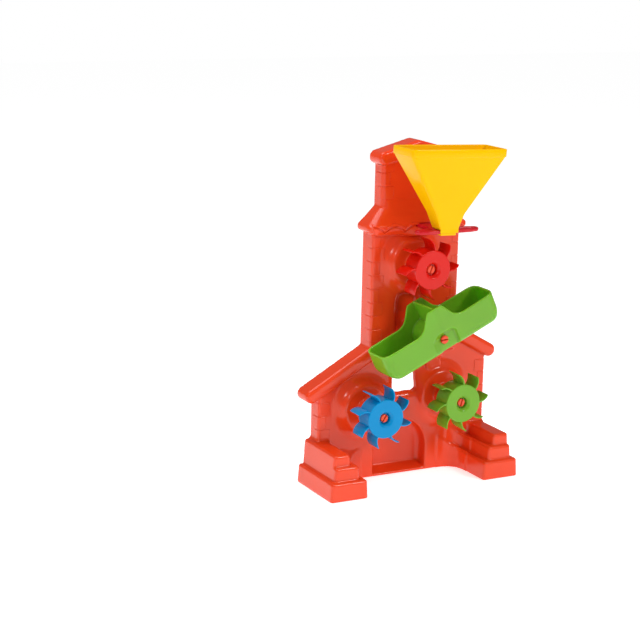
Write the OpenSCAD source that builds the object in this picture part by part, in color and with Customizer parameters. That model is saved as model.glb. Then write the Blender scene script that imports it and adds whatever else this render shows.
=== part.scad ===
// Sand wheel toy: a tower house with a funnel, a tipping trough and three bladed wheels.
// Millimetres. X runs to the right, Y to the back, Z up. The origin is the middle of the
// bounding box on the ground. The house front is the reference for every depth: a piece that
// stands out by some amount is that far in front of it.

/* [House] */
// Distance from the centre plane to the left wall
house_left = 108; // [100:1:112]
// Distance from the centre plane to the right wall
house_right = 114; // [104:1:114]
// Depth of the moulded house from its front to its open back
body_depth = 20; // [16:1:28]
// Thickness of the moulded walls
wall_t = 3; // [2:0.5:4]
// Distance from the centre plane to the centre of each rounded eave
eave_x = 118; // [116:1:126]
// Height of the centre of the left eave
left_eave_z = 107; // [98:1:112]
// Height of the centre of the right eave
right_eave_z = 139.5; // [130:0.5:146]
// Thickness of the roof slabs
roof_t = 16; // [12:1:20]
// Slope of the lean-to roofs in degrees
roof_slope = 29.5; // [24:0.5:34]
// How far the roofs stand in front of the house
roof_out = 6; // [4:1:12]

/* [Tower] */
// Distance of the tower's middle from the centre plane
tower_x = 11.5; // [8:0.5:14]
// Width of the tower
tower_w = 114; // [106:1:120]
// How far the tower stands in front of the house
tower_out = 4.5; // [2:0.5:8]
// Height of the lower edge of the shoulder
shoulder_z = 287; // [280:1:294]
// Width of the shoulder
shoulder_w = 129; // [122:1:136]
// How far the shoulder stands in front of the house
shoulder_out = 12; // [9:0.5:14]
// Height of the upright band round the shoulder
shoulder_band = 11; // [8:1:14]
// Height of the shoulder's slope
shoulder_rise = 20; // [14:1:26]
// Width of the upper tower
neck_w = 87; // [80:1:94]
// How far the upper tower's front lies behind the house front
neck_in = 1; // [0:0.5:4]
// Height of the point of the top roof
apex_z = 395; // [388:1:402]
// Distance between the centres of the top roof's two rounded eaves
roll_span = 87; // [82:1:94]
// Thickness of the top roof
roll_d = 15.4; // [12:0.2:18]
// Slope of the top roof in degrees
top_slope = 15; // [11:0.5:18]

/* [Feet] */
// Distance from the centre plane to the outer side of each foot
foot_outer = 124; // [118:1:132]
// Distance from the centre plane to the inner side of each foot
foot_inner = 76.5; // [72:0.5:82]
// How far the feet stand in front of the house
foot_out = 65.5; // [58:0.5:70]
// Height of the plinth step
plinth_h = 22; // [16:1:26]
// Height of the middle step
middle_h = 38; // [30:1:42]
// Height of the top step
foot_h = 51; // [44:1:56]
// Set-back of the outer side above the plinth
outer_step = 5.5; // [5:0.5:8]
// Tread width of the plinth step on the inner side
plinth_tread = 7.5; // [6:0.5:10]
// Tread width of the middle step on the inner side
middle_tread = 8; // [6:0.5:10]
// Set-back of each step at the front
front_step = 5; // [3:0.5:7]
// How far the sides of each step lean inwards
foot_lean = 3.5; // [2:0.5:4]

/* [Openings] */
// Width of the door arch
door_w = 70; // [60:1:74]
// Height of the door arch
door_h = 66; // [58:1:70]
// Depth of the door arch behind the house front
door_depth = 15.5; // [10:0.5:16]
// Height of the doorstep
doorstep_h = 2.5; // [2:0.5:6]
// Distance of the window's middle from the centre plane
window_x = 5; // [3:0.5:7]
// Width of the window
window_w = 29; // [22:1:29]
// Height of the window's lower edge
window_z = 99; // [92:1:104]
// Height of the window
window_h = 29; // [22:1:30]
// Radius of the window's corners
window_r = 5; // [3:0.5:7]
// Width of the recess behind the trough
recess_w = 29; // [24:1:32]
// Height of the top of that recess
recess_top = 222; // [212:1:226]
// Depth of the recess behind the tower front
recess_depth = 12; // [8:0.5:13]
// Diameter of the round pad beside the recess
pad_d = 20; // [16:1:24]
// Distance of the pad from the centre plane
pad_x = 41; // [36:1:44]
// Height of the pad's middle
pad_z = 131; // [126:1:136]
// How far the round pad stands proud of the house front
pad_out = 4; // [3:0.5:6]

/* [Corner stones] */
// Distance between the joints of the corner stones
stone_pitch = 15.8; // [14:0.2:18]
// Length of the long corner stones
stone_long = 14.5; // [12:0.5:17]
// Length of the short corner stones
stone_short = 9.5; // [7:0.5:11]
// Width of the joints between the stones
joint_w = 0.9; // [0.6:0.1:1.4]
// Depth of those joints
joint_depth = 0.6; // [0.4:0.1:1]

/* [Wheels] */
// Diameter of each wheel's front disc and drum
wheel_d = 45; // [40:1:48]
// Diameter over the blade tips
wheel_tip_d = 70; // [66:1:72]
// Depth of each wheel
wheel_depth = 24; // [20:1:28]
// How far the wheel discs stand in front of the house
wheel_out = 55; // [52:1:60]
// Thickness of the wheels' walls
wheel_wall = 2; // [1.6:0.2:3]
// Thickness of each blade
blade_t = 1.8; // [1.4:0.2:2.4]
// Radius of each blade's curve
blade_curve_r = 14; // [12:0.5:18]
// Distance that the blades keep behind the front disc's face
blade_back = 0.5; // [0.5:0.5:3]
// Width of the flared mouth of the hollow in the disc
dish_d = 19; // [16:0.5:21]
// Depth of the hollow in the disc
dish_depth = 7; // [5:0.5:9]
// Distance from the centre plane to the left wheel's axis
left_wheel_x = 50.5; // [47:0.5:52]
// Height of the left wheel's axis
left_wheel_z = 87; // [84:0.5:92]
// Distance from the centre plane to the right wheel's axis
right_wheel_x = 51.5; // [49:0.5:54]
// Height of the right wheel's axis
right_wheel_z = 94; // [90:0.5:98]
// Distance from the centre plane to the top wheel's axis
top_wheel_x = 4.5; // [2:0.5:8]
// Gap between the swing of the trough's hump and the top wheel's blades
swing_gap = 1.5; // [1:0.1:2.5]

/* [Bosses and axles] */
// Diameter of the sharp rim of each wheel boss
boss_rim_d = 53; // [46:1:56]
// Diameter of the foot of each flared boss
boss_foot_d = 84; // [74:1:86]
// Height of the flared boss on its wall
boss_h = 8.5; // [7:0.5:10]
// Diameter of the collar that carries a wheel
collar_d = 26; // [22:1:30]
// Diameter of the axle pins
axle_d = 8; // [6:0.5:9]
// Running clearance round an axle pin, on the radius
spin_clearance = 0.1; // [0.05:0.01:0.1]
// Play between faces that turn past each other
face_gap = 0.3; // [0.3:0.05:0.5]
// Diameter of the snap heads
head_d = 9.6; // [9:0.2:11]
// Height of the snap heads
head_h = 3; // [2.5:0.5:4]
// Width of the slot across a snap head
head_slot = 1.4; // [1:0.2:2]
// Diameter of the flange at the back of a pin
flange_d = 15; // [12:0.5:16]
// Thickness of that flange
flange_t = 2; // [1.5:0.5:3]

/* [Trough] */
// Distance from the centre plane to the trough's pivot
pivot_x = 15; // [12:0.5:17]
// Height of the trough's pivot
pivot_z = 176.5; // [173:0.5:180]
// Length of the trough along its rim
trough_l = 156; // [148:1:162]
// Width of the trough from front to back
trough_w = 46; // [42:1:50]
// How far the trough's front stands in front of the house
trough_out = 71; // [68:1:76]
// Height of the rim above the pivot
rim_up = 20; // [17:0.5:21]
// Depth of the bucket floors below the pivot
floor_down = 13.5; // [12:0.5:16]
// Height of the hump above the pivot
hump_up = 41; // [36:0.5:42]
// Width of the flat top of the hump
hump_top_w = 20; // [16:1:24]
// Width of the hump where it leaves the rim
hump_base_w = 47; // [42:1:52]
// Thickness of the trough's walls
trough_wall = 2; // [1.6:0.2:2.6]
// Radius of the vault round the pivot
vault_r = 16.5; // [15:0.5:17]
// How far the pivot plate lies behind the trough's front
plate_in = 5; // [4.5:0.5:8]
// Radius of the rounded lower ends of the trough
trough_end_r = 17; // [12:1:20]
// Radius of the trough's corners seen from above
trough_corner_r = 13; // [8:1:18]
// Radius of the stop pegs under the trough
peg_r = 4; // [3:0.5:5]
// Distance of each stop peg from the pivot, measured sideways
peg_side = 18; // [16:1:22]
// How far the stop pegs stand in front of the house
peg_out = 30; // [28:1:34]
// Tilt of the trough at each stop, in degrees
tilt = 25; // [20:1:26]

/* [Funnel] */
// Distance from the centre plane to the funnel's middle
funnel_x = 18.5; // [17:0.5:22]
// How far the funnel's middle stands in front of the house
funnel_mid_out = 54.5; // [53:0.5:56]
// Width of the funnel at its rim
funnel_w = 123; // [112:1:128]
// Depth of the funnel at its rim
funnel_d = 47; // [44:1:52]
// Height of the funnel's rim above the ground
funnel_top = 392.5; // [386:0.5:394]
// Height of the upright band at the rim
band_h = 9; // [7:0.5:12]
// Thickness of the funnel's walls
funnel_wall = 2; // [1.6:0.2:2.6]
// Distance of the spout's middle from the centre plane
spout_x = 20; // [17:0.5:22]
// How far the spout's middle stands in front of the house
spout_mid_out = 52; // [50:0.5:54]
// Width of the spout
spout_w = 24; // [21:0.5:26]
// Depth of the spout
spout_d = 20; // [18:0.5:22]
// Height of the spout's seat above the ground
seat_z = 301; // [299:0.5:304]
// Lean of the loosely seated funnel to the right, in degrees
funnel_lean = 2; // [0:0.5:2.5]
// Width of the funnel where its walls turn steeper
bend_w = 37; // [34:0.5:42]
// Height of that bend above the seat
bend_up = 17; // [14:0.5:22]
// Reach of the spout's neck below the seat
neck_down = 7; // [6:0.5:9]

/* [Funnel holder] */
// Distance of the holder's middle from the centre plane
holder_x = 22.5; // [20:0.5:24]
// Length of the holder from ear to ear
holder_l = 81; // [74:1:86]
// Thickness of the holder's plate
holder_t = 4.6; // [3:0.2:5]
// Depth of the holder's plate round the spout
holder_d = 29; // [27:0.5:31]
// Width of the tongue that plugs into the tower
tongue_w = 26; // [20:1:30]
// Width of the rails round the spout and the ear loops
rail_w = 4; // [3:0.5:4.5]

/* [Hidden] */
$fn = 96;
overrun = 1;
touch = 0.1;
blade_count = 8;
top_wheel_turn = -6.5;
left_wheel_turn = 19.5;
right_wheel_turn = -2;
hump_steps = 8;
hull_fn = 32;
// The front of the house, which centres the whole toy on the origin
front_y = (funnel_mid_out + funnel_d / 2 - body_depth) / 2;
// Roofs and upper parts of the house
roof_r = roof_t / 2;
roof_bead = 0.4;
roll_r = roll_d / 2;
top_ridge_z = apex_z - (roll_r - roof_bead) / cos(top_slope);
roll_z = top_ridge_z - roll_span / 2 * tan(top_slope);
tower_half = tower_w / 2;
tower_foot_z = 146;
tower_stone_z = 179.4;
wing_stone_z = 66;
shoulder_half = shoulder_w / 2;
neck_half = neck_w / 2;
shoulder_flare = 7;
shoulder_top_z = shoulder_z + shoulder_flare + shoulder_band / 2 + shoulder_rise;
neck_foot_z = shoulder_top_z - shoulder_rise;
neck_stone_rise = 8;
neck_stone_z = shoulder_top_z + neck_stone_rise;
foot_bevel = 3;
// Wheel bosses, collars and axles
tread_slack = 0.05;
collar_end_t = 4;
wheel_collar_out = wheel_out - wheel_depth - face_gap;
trough_back_out = trough_out - trough_w;
trough_collar_out = trough_back_out - face_gap;
bore_r = axle_d / 2 + spin_clearance;
seat_r = axle_d / 2 + tread_slack;
boss_run = (boss_foot_d - boss_rim_d) / 2;
boss_sink = 0.6;
boss_arc_h = boss_h + boss_sink;
boss_arc_r = (boss_run * boss_run + boss_arc_h * boss_arc_h) / (2 * boss_arc_h);
dish_room = 1.9;
dish_floor_r = head_d / 2 + dish_room;
dish_flare = 2.5;
hub_r = dish_floor_r + wheel_wall / 2;
hub_end_out = wheel_out - dish_depth;
head_chamfer = 1;
slot_depth = 6;
// Trough
plate_t = 2.5;
plate_out = trough_out - plate_in;
tube_wall = 3;
tube_r = axle_d / 2 + tube_wall;
half_l = trough_l / 2;
swing_r = norm([hump_top_w / 2, hump_up]);
swing_reach = swing_r + swing_gap + wheel_tip_d / 2;
top_wheel_z = pivot_z + sqrt(pow(swing_reach, 2) - pow(pivot_x - top_wheel_x, 2));
peg_drop = (peg_side * sin(tilt) + floor_down + peg_r + touch) / cos(tilt);
// Funnel and its holder
spout_plug_w = spout_w - 2 * funnel_wall;
spout_plug_d = spout_d - 2 * funnel_wall;
plug_wall = 1.4;
plug_slack = 0.3;
apron_drop = 4;
apron_t = 1.6;
bend_d = spout_d + (bend_w - spout_w) / 3;
rim_r = 5;
spout_r = 2;
seat_drop = spout_w / 2 * sin(funnel_lean);
holder_top_z = seat_z - seat_drop - touch;
ear_r = 6.5;
ear_wall = 3.5;
ear_slot_r = ear_r - ear_wall;
tongue_in = 6;
tongue_end_out = shoulder_out - wall_t - tongue_in;
body_colour = "#e8452b";
top_wheel_colour = "#d8232a";
left_wheel_colour = "#0a86cf";
right_wheel_colour = "#7dbb3f";
trough_colour = "#74b72e";
funnel_colour = "#fbd000";
holder_colour = "#c8203a";

// The Y place of a face that stands the given distance in front of the house
function at(out) = front_y - out;

// Heights of the middles of the two lean-to roofs over a place across the house
function left_roof(x) = left_eave_z + (x + eave_x) * tan(roof_slope);
function right_roof(x) = right_eave_z + (eave_x - x) * tan(roof_slope);

// A flat outline in X and Z made solid between two distances in front of the house
module upright(out, back_out) {
    translate([0, at(back_out), 0])
        rotate([90, 0, 0])
            linear_extrude(out - back_out) children();
}

// A round bar along Y between two distances in front of the house
module bar(x, z, r, out, back_out) {
    translate([x, at(back_out), z])
        rotate([90, 0, 0])
            cylinder(r = r, h = out - back_out);
}

// A turned shape about an axis along Y, drawn as radius and distance in front of the house
module turned(x, z) {
    translate([x, at(0), z])
        rotate([90, 0, 0])
            rotate_extrude() children();
}

// An upright rectangle given by its sides
module span(x0, x1, z0, z1) {
    translate([x0, z0])
        square([x1 - x0, z1 - z0]);
}

// One lean-to roof slab, inset from its outer faces
module roof_slab(side, eave_z, inset) {
    run = (eave_x + side * tower_x) / cos(roof_slope);
    translate([side * eave_x, eave_z]) {
        circle(r = roof_r - inset);
        mirror([side > 0 ? 1 : 0, 0])
            rotate(roof_slope)
                translate([0, inset + roof_bead - roof_r])
                    square([run, roof_t - 2 * inset - 2 * roof_bead]);
    }
}

// The wings of the house, inset from their outer faces
module wings(inset) {
    left = inset - house_left;
    right = house_right - inset;
    polygon([[left, inset], [right, inset], [right, right_roof(right)],
             [tower_x, right_roof(tower_x)], [tower_x, left_roof(tower_x)], [left, left_roof(left)]]);
}

// The shoulder seen from the front
module shoulder_face(inset) {
    low = tower_half - inset;
    wide = shoulder_half - inset;
    narrow = neck_half - inset;
    flare_z = shoulder_z + shoulder_flare;
    translate([tower_x, 0])
        polygon([[-low, shoulder_z], [low, shoulder_z], [wide, flare_z], [wide, neck_foot_z],
                 [narrow, shoulder_top_z], [-narrow, shoulder_top_z], [-wide, neck_foot_z],
                 [-wide, flare_z]]);
}

// The shoulder seen from the side
module shoulder_side(inset) {
    back = body_depth + (inset > 0 ? overrun : 0);
    flare_z = shoulder_z + shoulder_flare;
    polygon([[-back, shoulder_z], [tower_out - inset, shoulder_z], [shoulder_out - inset, flare_z],
             [shoulder_out - inset, neck_foot_z], [-neck_in - inset, shoulder_top_z],
             [-back, shoulder_top_z]]);
}

// The shoulder as one solid
module shoulder(inset) {
    intersection() {
        upright(shoulder_out, -body_depth - overrun) shoulder_face(inset);
        translate([shoulder_w, front_y, 0])
            rotate([90, 0, -90])
                linear_extrude(2 * shoulder_w) shoulder_side(inset);
    }
}

// The top roof with its two rounded eaves, inset from its outer faces
module top_roof(inset) {
    half = roll_span / 2;
    thick = (roll_r - roof_bead - inset) / cos(top_slope);
    translate([tower_x, 0]) {
        polygon([[-half, roll_z - thick], [0, top_ridge_z - thick], [half, roll_z - thick],
                 [half, roll_z + thick], [0, top_ridge_z + thick], [-half, roll_z + thick]]);
        for (x = [-half, half])
            translate([x, roll_z])
                circle(r = roll_r - inset);
    }
}

// The upper tower seen from the front
module neck(inset) {
    half = neck_half - inset;
    translate([tower_x, 0])
        polygon([[-half, neck_foot_z], [half, neck_foot_z], [half, roll_z], [0, top_ridge_z],
                 [-half, roll_z]]);
}

// One step of a foot
module foot_step(side, inner, outer, top, out, inset, back) {
    upright(out - inset, -back)
        polygon([[side * (inner + inset), inset], [side * (outer - inset), inset],
                 [side * (outer - foot_lean / 2 - inset), top - foot_bevel - inset],
                 [side * (outer - foot_lean - foot_bevel - inset), top - inset],
                 [side * (inner + foot_lean + foot_bevel / 2 + inset), top - inset],
                 [side * (inner + foot_lean + inset), top - foot_bevel / 2 - inset]]);
}

// A foot with its three steps
module foot(side, inset) {
    back = body_depth + (inset > 0 ? overrun : 0);
    upper_outer = foot_outer - outer_step;
    second_inner = foot_inner + plinth_tread;
    foot_step(side, foot_inner, foot_outer, plinth_h, foot_out, inset, back);
    foot_step(side, second_inner, upper_outer, middle_h, foot_out - front_step, inset, back);
    foot_step(side, second_inner + middle_tread, upper_outer, foot_h, foot_out - 2 * front_step,
              inset, back);
}

// The whole house as a block, inset from its outer faces
module house(inset) {
    back = -body_depth - (inset > 0 ? overrun : 0);
    upright(-inset, back) wings(inset);
    upright(roof_out - inset, back) {
        roof_slab(-1, left_eave_z, inset);
        roof_slab(1, right_eave_z, inset);
        top_roof(inset);
    }
    upright(tower_out - inset, back)
        span(tower_x - tower_half + inset, tower_x + tower_half - inset, tower_foot_z + inset,
             shoulder_z + overrun);
    upright(-neck_in - inset, back) neck(inset);
    shoulder(inset);
    foot(-1, inset);
    foot(1, inset);
}

// The door arch, grown outwards all round
module door_arch(grow) {
    arch_z = door_h - door_w / 2;
    half = door_w / 2 + grow;
    intersection() {
        union() {
            translate([0, arch_z])
                circle(r = half);
            span(-half, half, 0, arch_z);
        }
        span(-half, half, max(doorstep_h - grow, 0), door_h + grow);
    }
}

// The channel behind the trough, grown outwards all round
module channel(grow) {
    half = recess_w / 2 + grow;
    translate([window_x, recess_top - recess_w / 2])
        circle(r = half);
    span(window_x - half, window_x + half, window_z - grow, recess_top - recess_w / 2);
}

// The window with rounded corners
module window() {
    half = window_w / 2;
    span(window_x - half + window_r, window_x + half - window_r, window_z, window_z + window_h);
    span(window_x - half, window_x + half, window_z + window_r, window_z + window_h - window_r);
    for (x = [window_x - half + window_r, window_x + half - window_r])
        for (z = [window_z + window_r, window_z + window_h - window_r])
            translate([x, z])
                circle(r = window_r);
}

// The flared boss of a wheel, seen as radius and distance from its wall
module flare(wall_out, inset) {
    difference() {
        translate([0, wall_out - wall_t - (inset > 0 ? overrun : 0)])
            square([boss_foot_d / 2, boss_h + wall_t + (inset > 0 ? overrun : 0) - inset]);
        translate([boss_foot_d / 2, wall_out + boss_arc_r - boss_sink])
            circle(r = boss_arc_r + inset);
    }
}

// A collar that holds an axle
module collar(x, z, end_out, back_out) {
    bar(x, z, collar_d / 2, end_out, back_out);
}

// What is cut out of a collar: its hollow from the back and the axle's seat
module collar_cut(x, z, end_out) {
    bar(x, z, collar_d / 2 - wall_t, end_out - collar_end_t, -body_depth - overrun);
    bar(x, z, seat_r, end_out + overrun, -body_depth);
}

// Joints between corner stones on one upright edge
module stones(edge_x, side, face_out, z0, rows) {
    for (row = [0 : rows - 1]) {
        z = z0 + row * stone_pitch;
        len = row % 2 == 0 ? stone_long : stone_short;
        x_end = edge_x - side * len;
        upright(face_out + overrun, face_out - joint_depth) {
            span(min(edge_x + side * overrun, x_end), max(edge_x + side * overrun, x_end),
                 z, z + joint_w);
            if (row < rows - 1)
                span(x_end - joint_w / 2, x_end + joint_w / 2, z, z + stone_pitch);
        }
    }
}

// The thin shell of the house with its hollow wheel bosses
module shell() {
    difference() {
        union() {
            house(0);
            turned(-left_wheel_x, left_wheel_z) flare(0, 0);
            turned(right_wheel_x, right_wheel_z) flare(0, 0);
            turned(top_wheel_x, top_wheel_z) flare(tower_out, 0);
        }
        house(wall_t);
        turned(-left_wheel_x, left_wheel_z) flare(0, wall_t);
        turned(right_wheel_x, right_wheel_z) flare(0, wall_t);
        turned(top_wheel_x, top_wheel_z) flare(tower_out, wall_t);
    }
}

// The shell with its door, channel, window and the joints of its corner stones
module front_wall() {
    channel_floor_out = tower_out - recess_depth;
    difference() {
        union() {
            shell();
            upright(-wall_t / 2, -door_depth - wall_t) door_arch(wall_t);
            upright(-wall_t / 2, channel_floor_out - wall_t) channel(wall_t);
            upright(tower_out - wall_t / 2, -wall_t)
                intersection() {
                    channel(wall_t);
                    span(-house_left, house_right, tower_foot_z, shoulder_z);
                }
        }
        upright(overrun, -door_depth) door_arch(0);
        upright(shoulder_out, channel_floor_out) channel(0);
        upright(overrun, -body_depth - overrun) window();
        holder_slot();
        stones(tower_x - tower_half, -1, tower_out, tower_stone_z, 7);
        stones(tower_x + tower_half, 1, tower_out, tower_stone_z, 7);
        stones(-house_left, -1, 0, wing_stone_z, 3);
        stones(house_right, 1, 0, wing_stone_z, 5);
        stones(tower_x - neck_half, -1, -neck_in, neck_stone_z, 3);
        stones(tower_x + neck_half, 1, -neck_in, neck_stone_z, 3);
    }
}

// The moulded house: one open-backed shell with the collars for its axles and the stop pegs
module body_shell() {
    channel_back_out = tower_out - recess_depth - wall_t / 2;
    color(body_colour)
        difference() {
            union() {
                front_wall();
                collar(-left_wheel_x, left_wheel_z, wheel_collar_out, -wall_t / 2);
                collar(right_wheel_x, right_wheel_z, wheel_collar_out, -wall_t / 2);
                collar(top_wheel_x, top_wheel_z, wheel_collar_out, tower_out - wall_t / 2);
                collar(pivot_x, pivot_z, trough_collar_out, channel_back_out);
                bar(pad_x, pad_z, pad_d / 2, pad_out, -wall_t / 2);
                bar(pivot_x - peg_side, pivot_z - peg_drop, peg_r, peg_out, channel_back_out);
                bar(pivot_x + peg_side, pivot_z - peg_drop, peg_r, peg_out, -wall_t / 2);
            }
            collar_cut(-left_wheel_x, left_wheel_z, wheel_collar_out);
            collar_cut(right_wheel_x, right_wheel_z, wheel_collar_out);
            collar_cut(top_wheel_x, top_wheel_z, wheel_collar_out);
            collar_cut(pivot_x, pivot_z, trough_collar_out);
        }
}

// The slot in the shoulder that takes the holder's tongue
module holder_slot() {
    half = tongue_w / 2;
    upright(shoulder_out + overrun, 0)
        span(spout_x - half, spout_x + half, holder_top_z - holder_t, holder_top_z);
}

// One blade, curving away from the drum
module blade() {
    root = wheel_d / 2 - wheel_wall / 2;
    intersection() {
        translate([root, blade_curve_r])
            difference() {
                circle(r = blade_curve_r + blade_t / 2);
                circle(r = blade_curve_r - blade_t / 2);
            }
        circle(r = wheel_tip_d / 2);
        translate([root, -blade_t])
            square([wheel_tip_d, blade_curve_r]);
    }
}

// A wheel with its drum, dished hub and blades
module wheel(x, z, turn, tint) {
    drum_r = wheel_d / 2;
    face = wheel_out;
    back = wheel_out - wheel_depth;
    color(tint)
        difference() {
            union() {
                bar(x, z, drum_r, face, back);
                upright(face - blade_back, back + blade_t)
                    translate([x, z])
                        for (k = [0 : blade_count - 1])
                            rotate(turn + k * 360 / blade_count)
                                blade();
            }
            turned(x, z)
                difference() {
                    translate([hub_r + wheel_wall, back - overrun])
                        square([drum_r - hub_r - 2 * wheel_wall, wheel_depth + overrun - wheel_wall]);
                    polygon([[0, face], [dish_d / 2 + wheel_wall, face],
                             [hub_r + wheel_wall, face - dish_flare],
                             [hub_r + wheel_wall, hub_end_out], [hub_r, hub_end_out]]);
                }
            turned(x, z)
                polygon([[0, hub_end_out], [dish_floor_r, hub_end_out],
                         [dish_floor_r, face - dish_flare], [dish_d / 2, face],
                         [dish_d / 2, face + overrun], [0, face + overrun]]);
            bar(x, z, bore_r, face, back - overrun);
        }
}

// A snap pin with its back flange and split, chamfered head
module axle(x, z, flange_out, bear_out) {
    shaft_end = bear_out + face_gap;
    tip = shaft_end + head_h;
    color(body_colour)
        difference() {
            turned(x, z)
                polygon([[0, flange_out - flange_t], [flange_d / 2, flange_out - flange_t],
                         [flange_d / 2, flange_out], [axle_d / 2, flange_out],
                         [axle_d / 2, shaft_end], [head_d / 2, shaft_end],
                         [head_d / 2, tip - head_chamfer], [head_d / 2 - head_chamfer, tip],
                         [0, tip]]);
            upright(tip + overrun, tip - slot_depth)
                translate([x - head_d, z - head_slot / 2])
                    square([2 * head_d, head_slot]);
        }
}

// The trough's band with its rounded lower ends, grown inwards
module band(inset) {
    side = half_l - trough_end_r;
    mid = trough_end_r - floor_down;
    span(-side, side, inset - floor_down, rim_up);
    span(-half_l + inset, half_l - inset, mid, rim_up);
    intersection() {
        for (x = [-side, side])
            translate([x, mid])
                circle(r = trough_end_r - inset);
        span(-half_l, half_l, -floor_down, mid);
    }
}

// The hump over the pivot with its flowing sides
module hump() {
    run = (hump_base_w - hump_top_w) / 2;
    rise = hump_up - rim_up;
    side = [for (k = [0 : hump_steps])
        let (u = k / hump_steps)
        [hump_top_w / 2 + run * u, rim_up + rise * (1 - u * u * (3 - 2 * u))]];
    mirror_side = [for (k = [hump_steps : -1 : 0]) [-side[k][0], side[k][1]]];
    foot = rim_up - trough_wall;
    polygon(concat(side, [[hump_base_w / 2, foot], [-hump_base_w / 2, foot]], mirror_side));
}

// The vault under the hump, grown outwards
module vault(grow) {
    circle(r = vault_r + grow);
    span(-vault_r - grow, vault_r + grow, -floor_down - overrun, 0);
}

// The space inside a rounded outline seen along the tilted trough's height
module trough_plan(inset) {
    translate([pivot_x, at(trough_out - trough_w / 2), pivot_z])
        rotate([0, -tilt, 0])
            translate([0, 0, -trough_l / 2])
                linear_extrude(trough_l)
                    hull() plan(trough_l - 2 * inset, trough_w - 2 * inset, trough_corner_r - inset);
}

// The tipping trough with its two buckets
module trough() {
    front = trough_out;
    back = trough_back_out;
    color(trough_colour)
        difference() {
            intersection() {
                union() {
                    upright(front, back)
                        translate([pivot_x, pivot_z])
                            rotate(tilt)
                                band(0);
                    upright(front, back)
                        translate([pivot_x, pivot_z])
                            rotate(tilt)
                                hump();
                }
                trough_plan(0);
            }
            intersection() {
                upright(front - trough_wall, back + trough_wall)
                    translate([pivot_x, pivot_z])
                        rotate(tilt)
                            difference() {
                                union() {
                                    band(trough_wall);
                                    span(-half_l + trough_wall, half_l - trough_wall, 0,
                                         hump_up + overrun);
                                }
                                vault(trough_wall);
                                span(-trough_wall / 2, trough_wall / 2, 0, hump_up);
                            }
                trough_plan(trough_wall);
            }
            difference() {
                upright(front + overrun, back + plate_t)
                    translate([pivot_x, pivot_z])
                        rotate(tilt)
                            vault(0);
                upright(plate_out, plate_out - plate_t)
                    translate([pivot_x, pivot_z])
                        rotate(tilt)
                            vault(trough_wall);
                bar(pivot_x, pivot_z, tube_r, plate_out, back);
            }
            bar(pivot_x, pivot_z, bore_r, front + overrun, back - overrun);
        }
}

// A rounded plate centred on a place across and in front of the house
module plan(w, d, corner) {
    for (x = [corner - w / 2, w / 2 - corner])
        for (y = [corner - d / 2, d / 2 - corner])
            translate([x, y])
                circle(r = corner, $fn = hull_fn);
}

// A tapering box between two rounded rectangles
module taper(low, high, grow) {
    hull() {
        translate([low[0], at(low[1]), low[2]])
            linear_extrude(touch)
                hull() plan(low[3] - 2 * grow, low[4] - 2 * grow, low[5]);
        translate([high[0], at(high[1]), high[2] - touch])
            linear_extrude(touch)
                hull() plan(high[3] - 2 * grow, high[4] - 2 * grow, high[5]);
    }
}

// What leans with the funnel about the middle of its seat
module leaned() {
    translate([spout_x, 0, seat_z])
        rotate([0, funnel_lean, 0])
            translate([-spout_x, 0, -seat_z])
                children();
}

// The funnel: rim band, sloping walls, steep neck and the plug in the holder
module funnel() {
    lip = 1;
    top_low = [funnel_x, funnel_mid_out, funnel_top - band_h, funnel_w - 2 * lip, funnel_d - 2 * lip, rim_r];
    bend = [(funnel_x + spout_x) / 2, spout_mid_out, seat_z + bend_up, bend_w, bend_d, spout_r + 1];
    seat = [spout_x, spout_mid_out, seat_z, spout_w, spout_d, spout_r];
    plug = [spout_x, spout_mid_out, seat_z - neck_down, spout_plug_w, spout_plug_d, spout_r / 2];
    color(funnel_colour)
        leaned()
            difference() {
                union() {
                    translate([funnel_x, at(funnel_mid_out), funnel_top - band_h])
                        linear_extrude(band_h)
                            hull() plan(funnel_w, funnel_d, rim_r);
                    taper(bend, top_low, 0);
                    taper(seat, bend, 0);
                    translate([spout_x, at(spout_mid_out), seat_z - neck_down])
                        linear_extrude(neck_down + touch)
                            hull() plan(spout_plug_w, spout_plug_d, spout_r / 2);
                    translate([spout_x - spout_w / 2, at(spout_mid_out + spout_d / 2),
                               seat_z - apron_drop])
                        cube([spout_w, apron_t, apron_drop + spout_r]);
                }
                translate([funnel_x, at(funnel_mid_out), funnel_top - band_h - touch])
                    linear_extrude(band_h + overrun)
                        hull() plan(funnel_w - 2 * funnel_wall, funnel_d - 2 * funnel_wall,
                                    rim_r - funnel_wall);
                hull() {
                    translate([bend[0], at(bend[1]), bend[2]])
                        linear_extrude(touch)
                            hull() plan(bend_w - 2 * funnel_wall, bend_d - 2 * funnel_wall, touch);
                    translate([funnel_x, at(funnel_mid_out), funnel_top - band_h - touch])
                        linear_extrude(2 * touch)
                            hull() plan(funnel_w - 2 * lip - 2 * funnel_wall,
                                        funnel_d - 2 * lip - 2 * funnel_wall, rim_r - funnel_wall);
                }
                hull() {
                    translate([spout_x, at(spout_mid_out), seat_z - touch])
                        linear_extrude(touch)
                            hull() plan(spout_plug_w - 2 * plug_wall, spout_plug_d - 2 * plug_wall, touch);
                    translate([bend[0], at(bend[1]), bend[2]])
                        linear_extrude(touch)
                            hull() plan(bend_w - 2 * funnel_wall, bend_d - 2 * funnel_wall, touch);
                }
                translate([spout_x, at(spout_mid_out), seat_z - neck_down - overrun])
                    linear_extrude(neck_down + overrun)
                        hull() plan(spout_plug_w - 2 * plug_wall, spout_plug_d - 2 * plug_wall, touch);
            }
}

// One ear of the holder as a rounded loop, drawn from above
module ear(side) {
    hull() {
        translate([side * (holder_l / 2 - ear_r), 0])
            circle(r = ear_r, $fn = hull_fn);
        translate([side * (spout_w / 2 + rail_w / 2), 0])
            square([rail_w, holder_d - rail_w], center = true);
    }
}

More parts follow.
